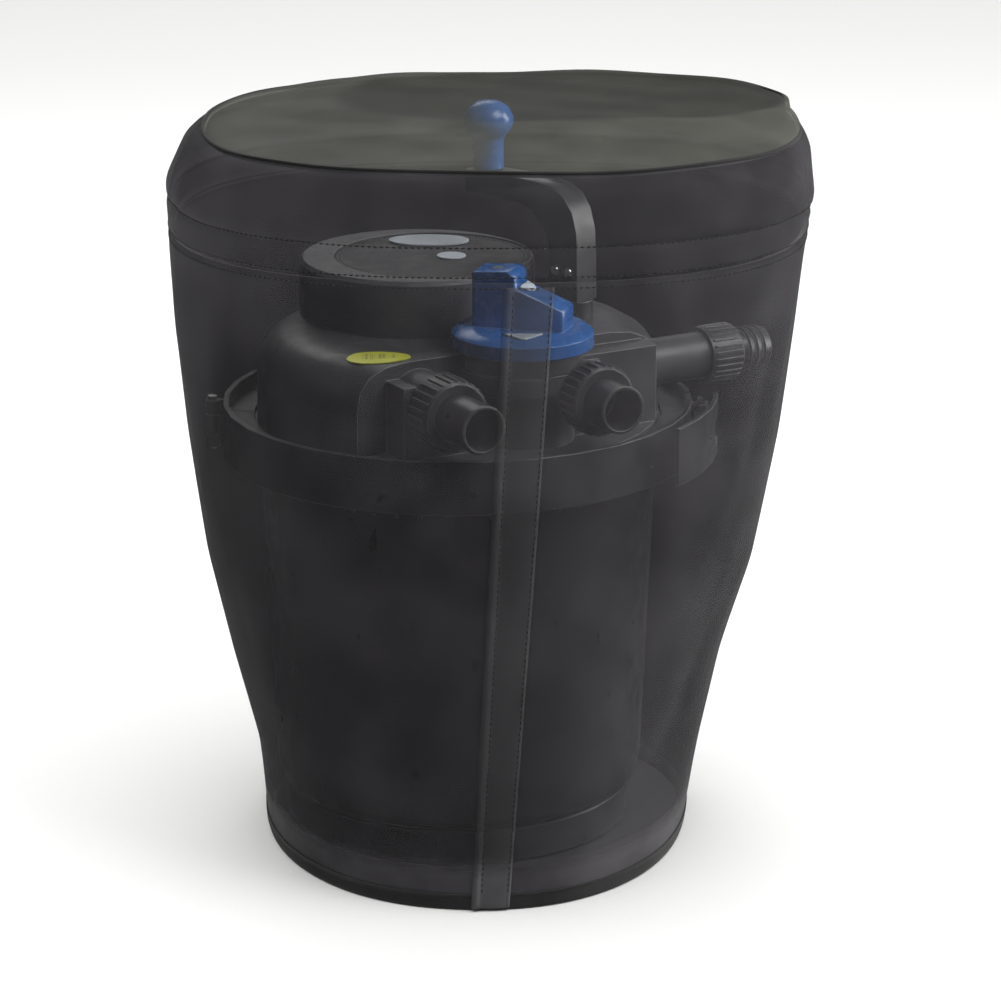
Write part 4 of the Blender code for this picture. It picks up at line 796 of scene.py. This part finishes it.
def studs(name, centre, z, radii, pitch, size, material, body):
    """Rows of small domed studs on a flat top."""
    vertices, faces = [], []
    for radius in radii:
        count = int(2 * math.pi * radius / pitch)
        for n in range(count):
            a = 2 * math.pi * n / count
            base = len(vertices)
            spot = np.array((centre[0] + radius * math.cos(a), centre[1] + radius * math.sin(a), z))
            for ring, lift in ((1.0, -0.0003), (0.8, 0.5), (0.35, 0.85)):
                for k in range(6):
                    t = math.pi * k / 3
                    height = lift * size if lift > 0 else lift
                    vertices.append(spot + (size * ring * math.cos(t), size * ring * math.sin(t), height))
            faces += quads(3, 6, base)
            faces += [[base + 12 + k for k in range(6)], [base + k for k in range(5, -1, -1)]]
    made = build(name, np.array(vertices), faces, [material])
    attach(made, body)
    return made


cap_low, cap_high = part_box("uvc_cap")
cap_middle = ((cap_low[0] + cap_high[0]) / 2, (cap_low[1] + cap_high[1]) / 2)
cap_reach = (cap_high[0] - cap_low[0]) / 2
# knurled border of the lamp housing's cap
KNURL_RINGS = (0.0022, 0.0050)      # how far in from the cap's edge each ring of studs stands
KNURL_PITCH, KNURL_SIZE = 0.0031, 0.00105
studs("cap_knurling", cap_middle, cap_high[2], [cap_reach - inset for inset in KNURL_RINGS],
              KNURL_PITCH, KNURL_SIZE, satin_abs, "filter")


# ---------------------------------------------------------------- floor, light and camera

FLOOR_REACH = 14.0
corners = ((-1, -1), (1, -1), (1, 1), (-1, 1))
floor = build("floor", [(x * FLOOR_REACH, y * FLOOR_REACH, 0) for x, y in corners], [[0, 1, 2, 3]], [])
paper, tree, surface, place = start_material("pale_paper", IOR=1.4)
grain = noise(tree, place, 3, 3.0)
tree.links.new(mixed(tree, grain, linear("#f0f0ef"), linear("#ececeb")), surface.inputs["Base Color"])
tree.links.new(ramp(tree, grain, 0.3, 0.7, 0.85, 0.95), surface.inputs["Roughness"])
floor.data.materials.append(paper)


def white_wall():
    """A white studio wall all round, far behind the object. It lights nothing."""
    turn = np.linspace(0, 2 * math.pi, 64, endpoint=False)
    rim = [(0.9 * FLOOR_REACH * math.cos(t), 0.9 * FLOOR_REACH * math.sin(t), z)
           for z in (-0.1, 9.0) for t in turn]
    made = build("studio_wall", rim, quads(2, 64), [])
    paint = bpy.data.materials.new("white_wall")
    paint.use_nodes = True
    tree = paint.node_tree
    tree.nodes.clear()
    glow = add(tree, "Emission", Color=linear("#fafafa"), Strength=1.0)
    add(tree, "OutputMaterial", Surface=glow.outputs[0])
    made.data.materials.append(paint)
    made.visible_diffuse = made.visible_glossy = False
    made.visible_transmission = made.visible_shadow = False
    return made


white_wall()

world = bpy.data.worlds.new("studio")
bpy.context.scene.world = world
world.use_nodes = True
air = world.node_tree.nodes["Background"]
air.inputs["Color"].default_value = linear("#f4f4f4")
air.inputs["Strength"].default_value = 0.28

floor_only = bpy.data.collections.new("floor_only")
floor_only.objects.link(floor)
all_but_floor = bpy.data.collections.new("all_but_floor")
all_but_floor.objects.link(floor)
all_but_floor.collection_objects[0].light_linking.link_state = "EXCLUDE"
past_cover = bpy.data.collections.new("past_cover")
for piece in cover_pieces:
    past_cover.objects.link(piece)
for held in past_cover.collection_objects:
    held.light_linking.link_state = "EXCLUDE"


def softbox(name, azimuth, elevation, distance, size, watts, on_floor=0.0):
    """A soft light aimed at the middle, and a twin that lights the floor alone.

    The first passes through the cover; the cover shades the twin.
    """
    a, e = math.radians(azimuth), math.radians(elevation)
    aim = Vector((0.02, -0.01, 0.27))
    out = Vector((math.sin(a) * math.cos(e), -math.cos(a) * math.cos(e), math.sin(e)))
    for tag, power in (("", watts), ("_floor", on_floor)):
        if power <= 0:
            continue
        light = bpy.data.lights.new(name + tag, "AREA")
        light.shape, light.size, light.size_y, light.energy = "RECTANGLE", size[0], size[1], power
        made = bpy.data.objects.new(name + tag, light)
        made.location = aim + out * distance
        made.rotation_euler = out.to_track_quat("Z", "Y").to_euler()
        bpy.context.scene.collection.objects.link(made)
        made.light_linking.receiver_collection = floor_only if tag else all_but_floor
        if not tag:
            made.light_linking.blocker_collection = past_cover


softbox("key", 30, 50, 2.4, (1.3, 1.2), 50, on_floor=20)
softbox("right", 66, 20, 2.4, (0.8, 1.6), 52)
softbox("left", -100, 36, 2.4, (0.3, 1.4), 2)
softbox("back", 160, 40, 2.4, (1.4, 1.0), 12, on_floor=14)
softbox("ceiling", 0, 89, 5.0, (10.0, 10.0), 0, on_floor=600)

camera = bpy.data.objects.new("camera", bpy.data.cameras.new("camera"))
bpy.context.scene.collection.objects.link(camera)
bpy.context.scene.camera = camera
camera.data.lens, camera.data.sensor_width = 141, 36
camera.location = (-1.4706, -2.615, 1.17)
looks_at = Vector((0.0294, -0.017, 0.258))
camera.rotation_euler = (looks_at - camera.location).to_track_quat("-Z", "Y").to_euler()
bpy.context.scene.view_settings.view_transform = "Standard"
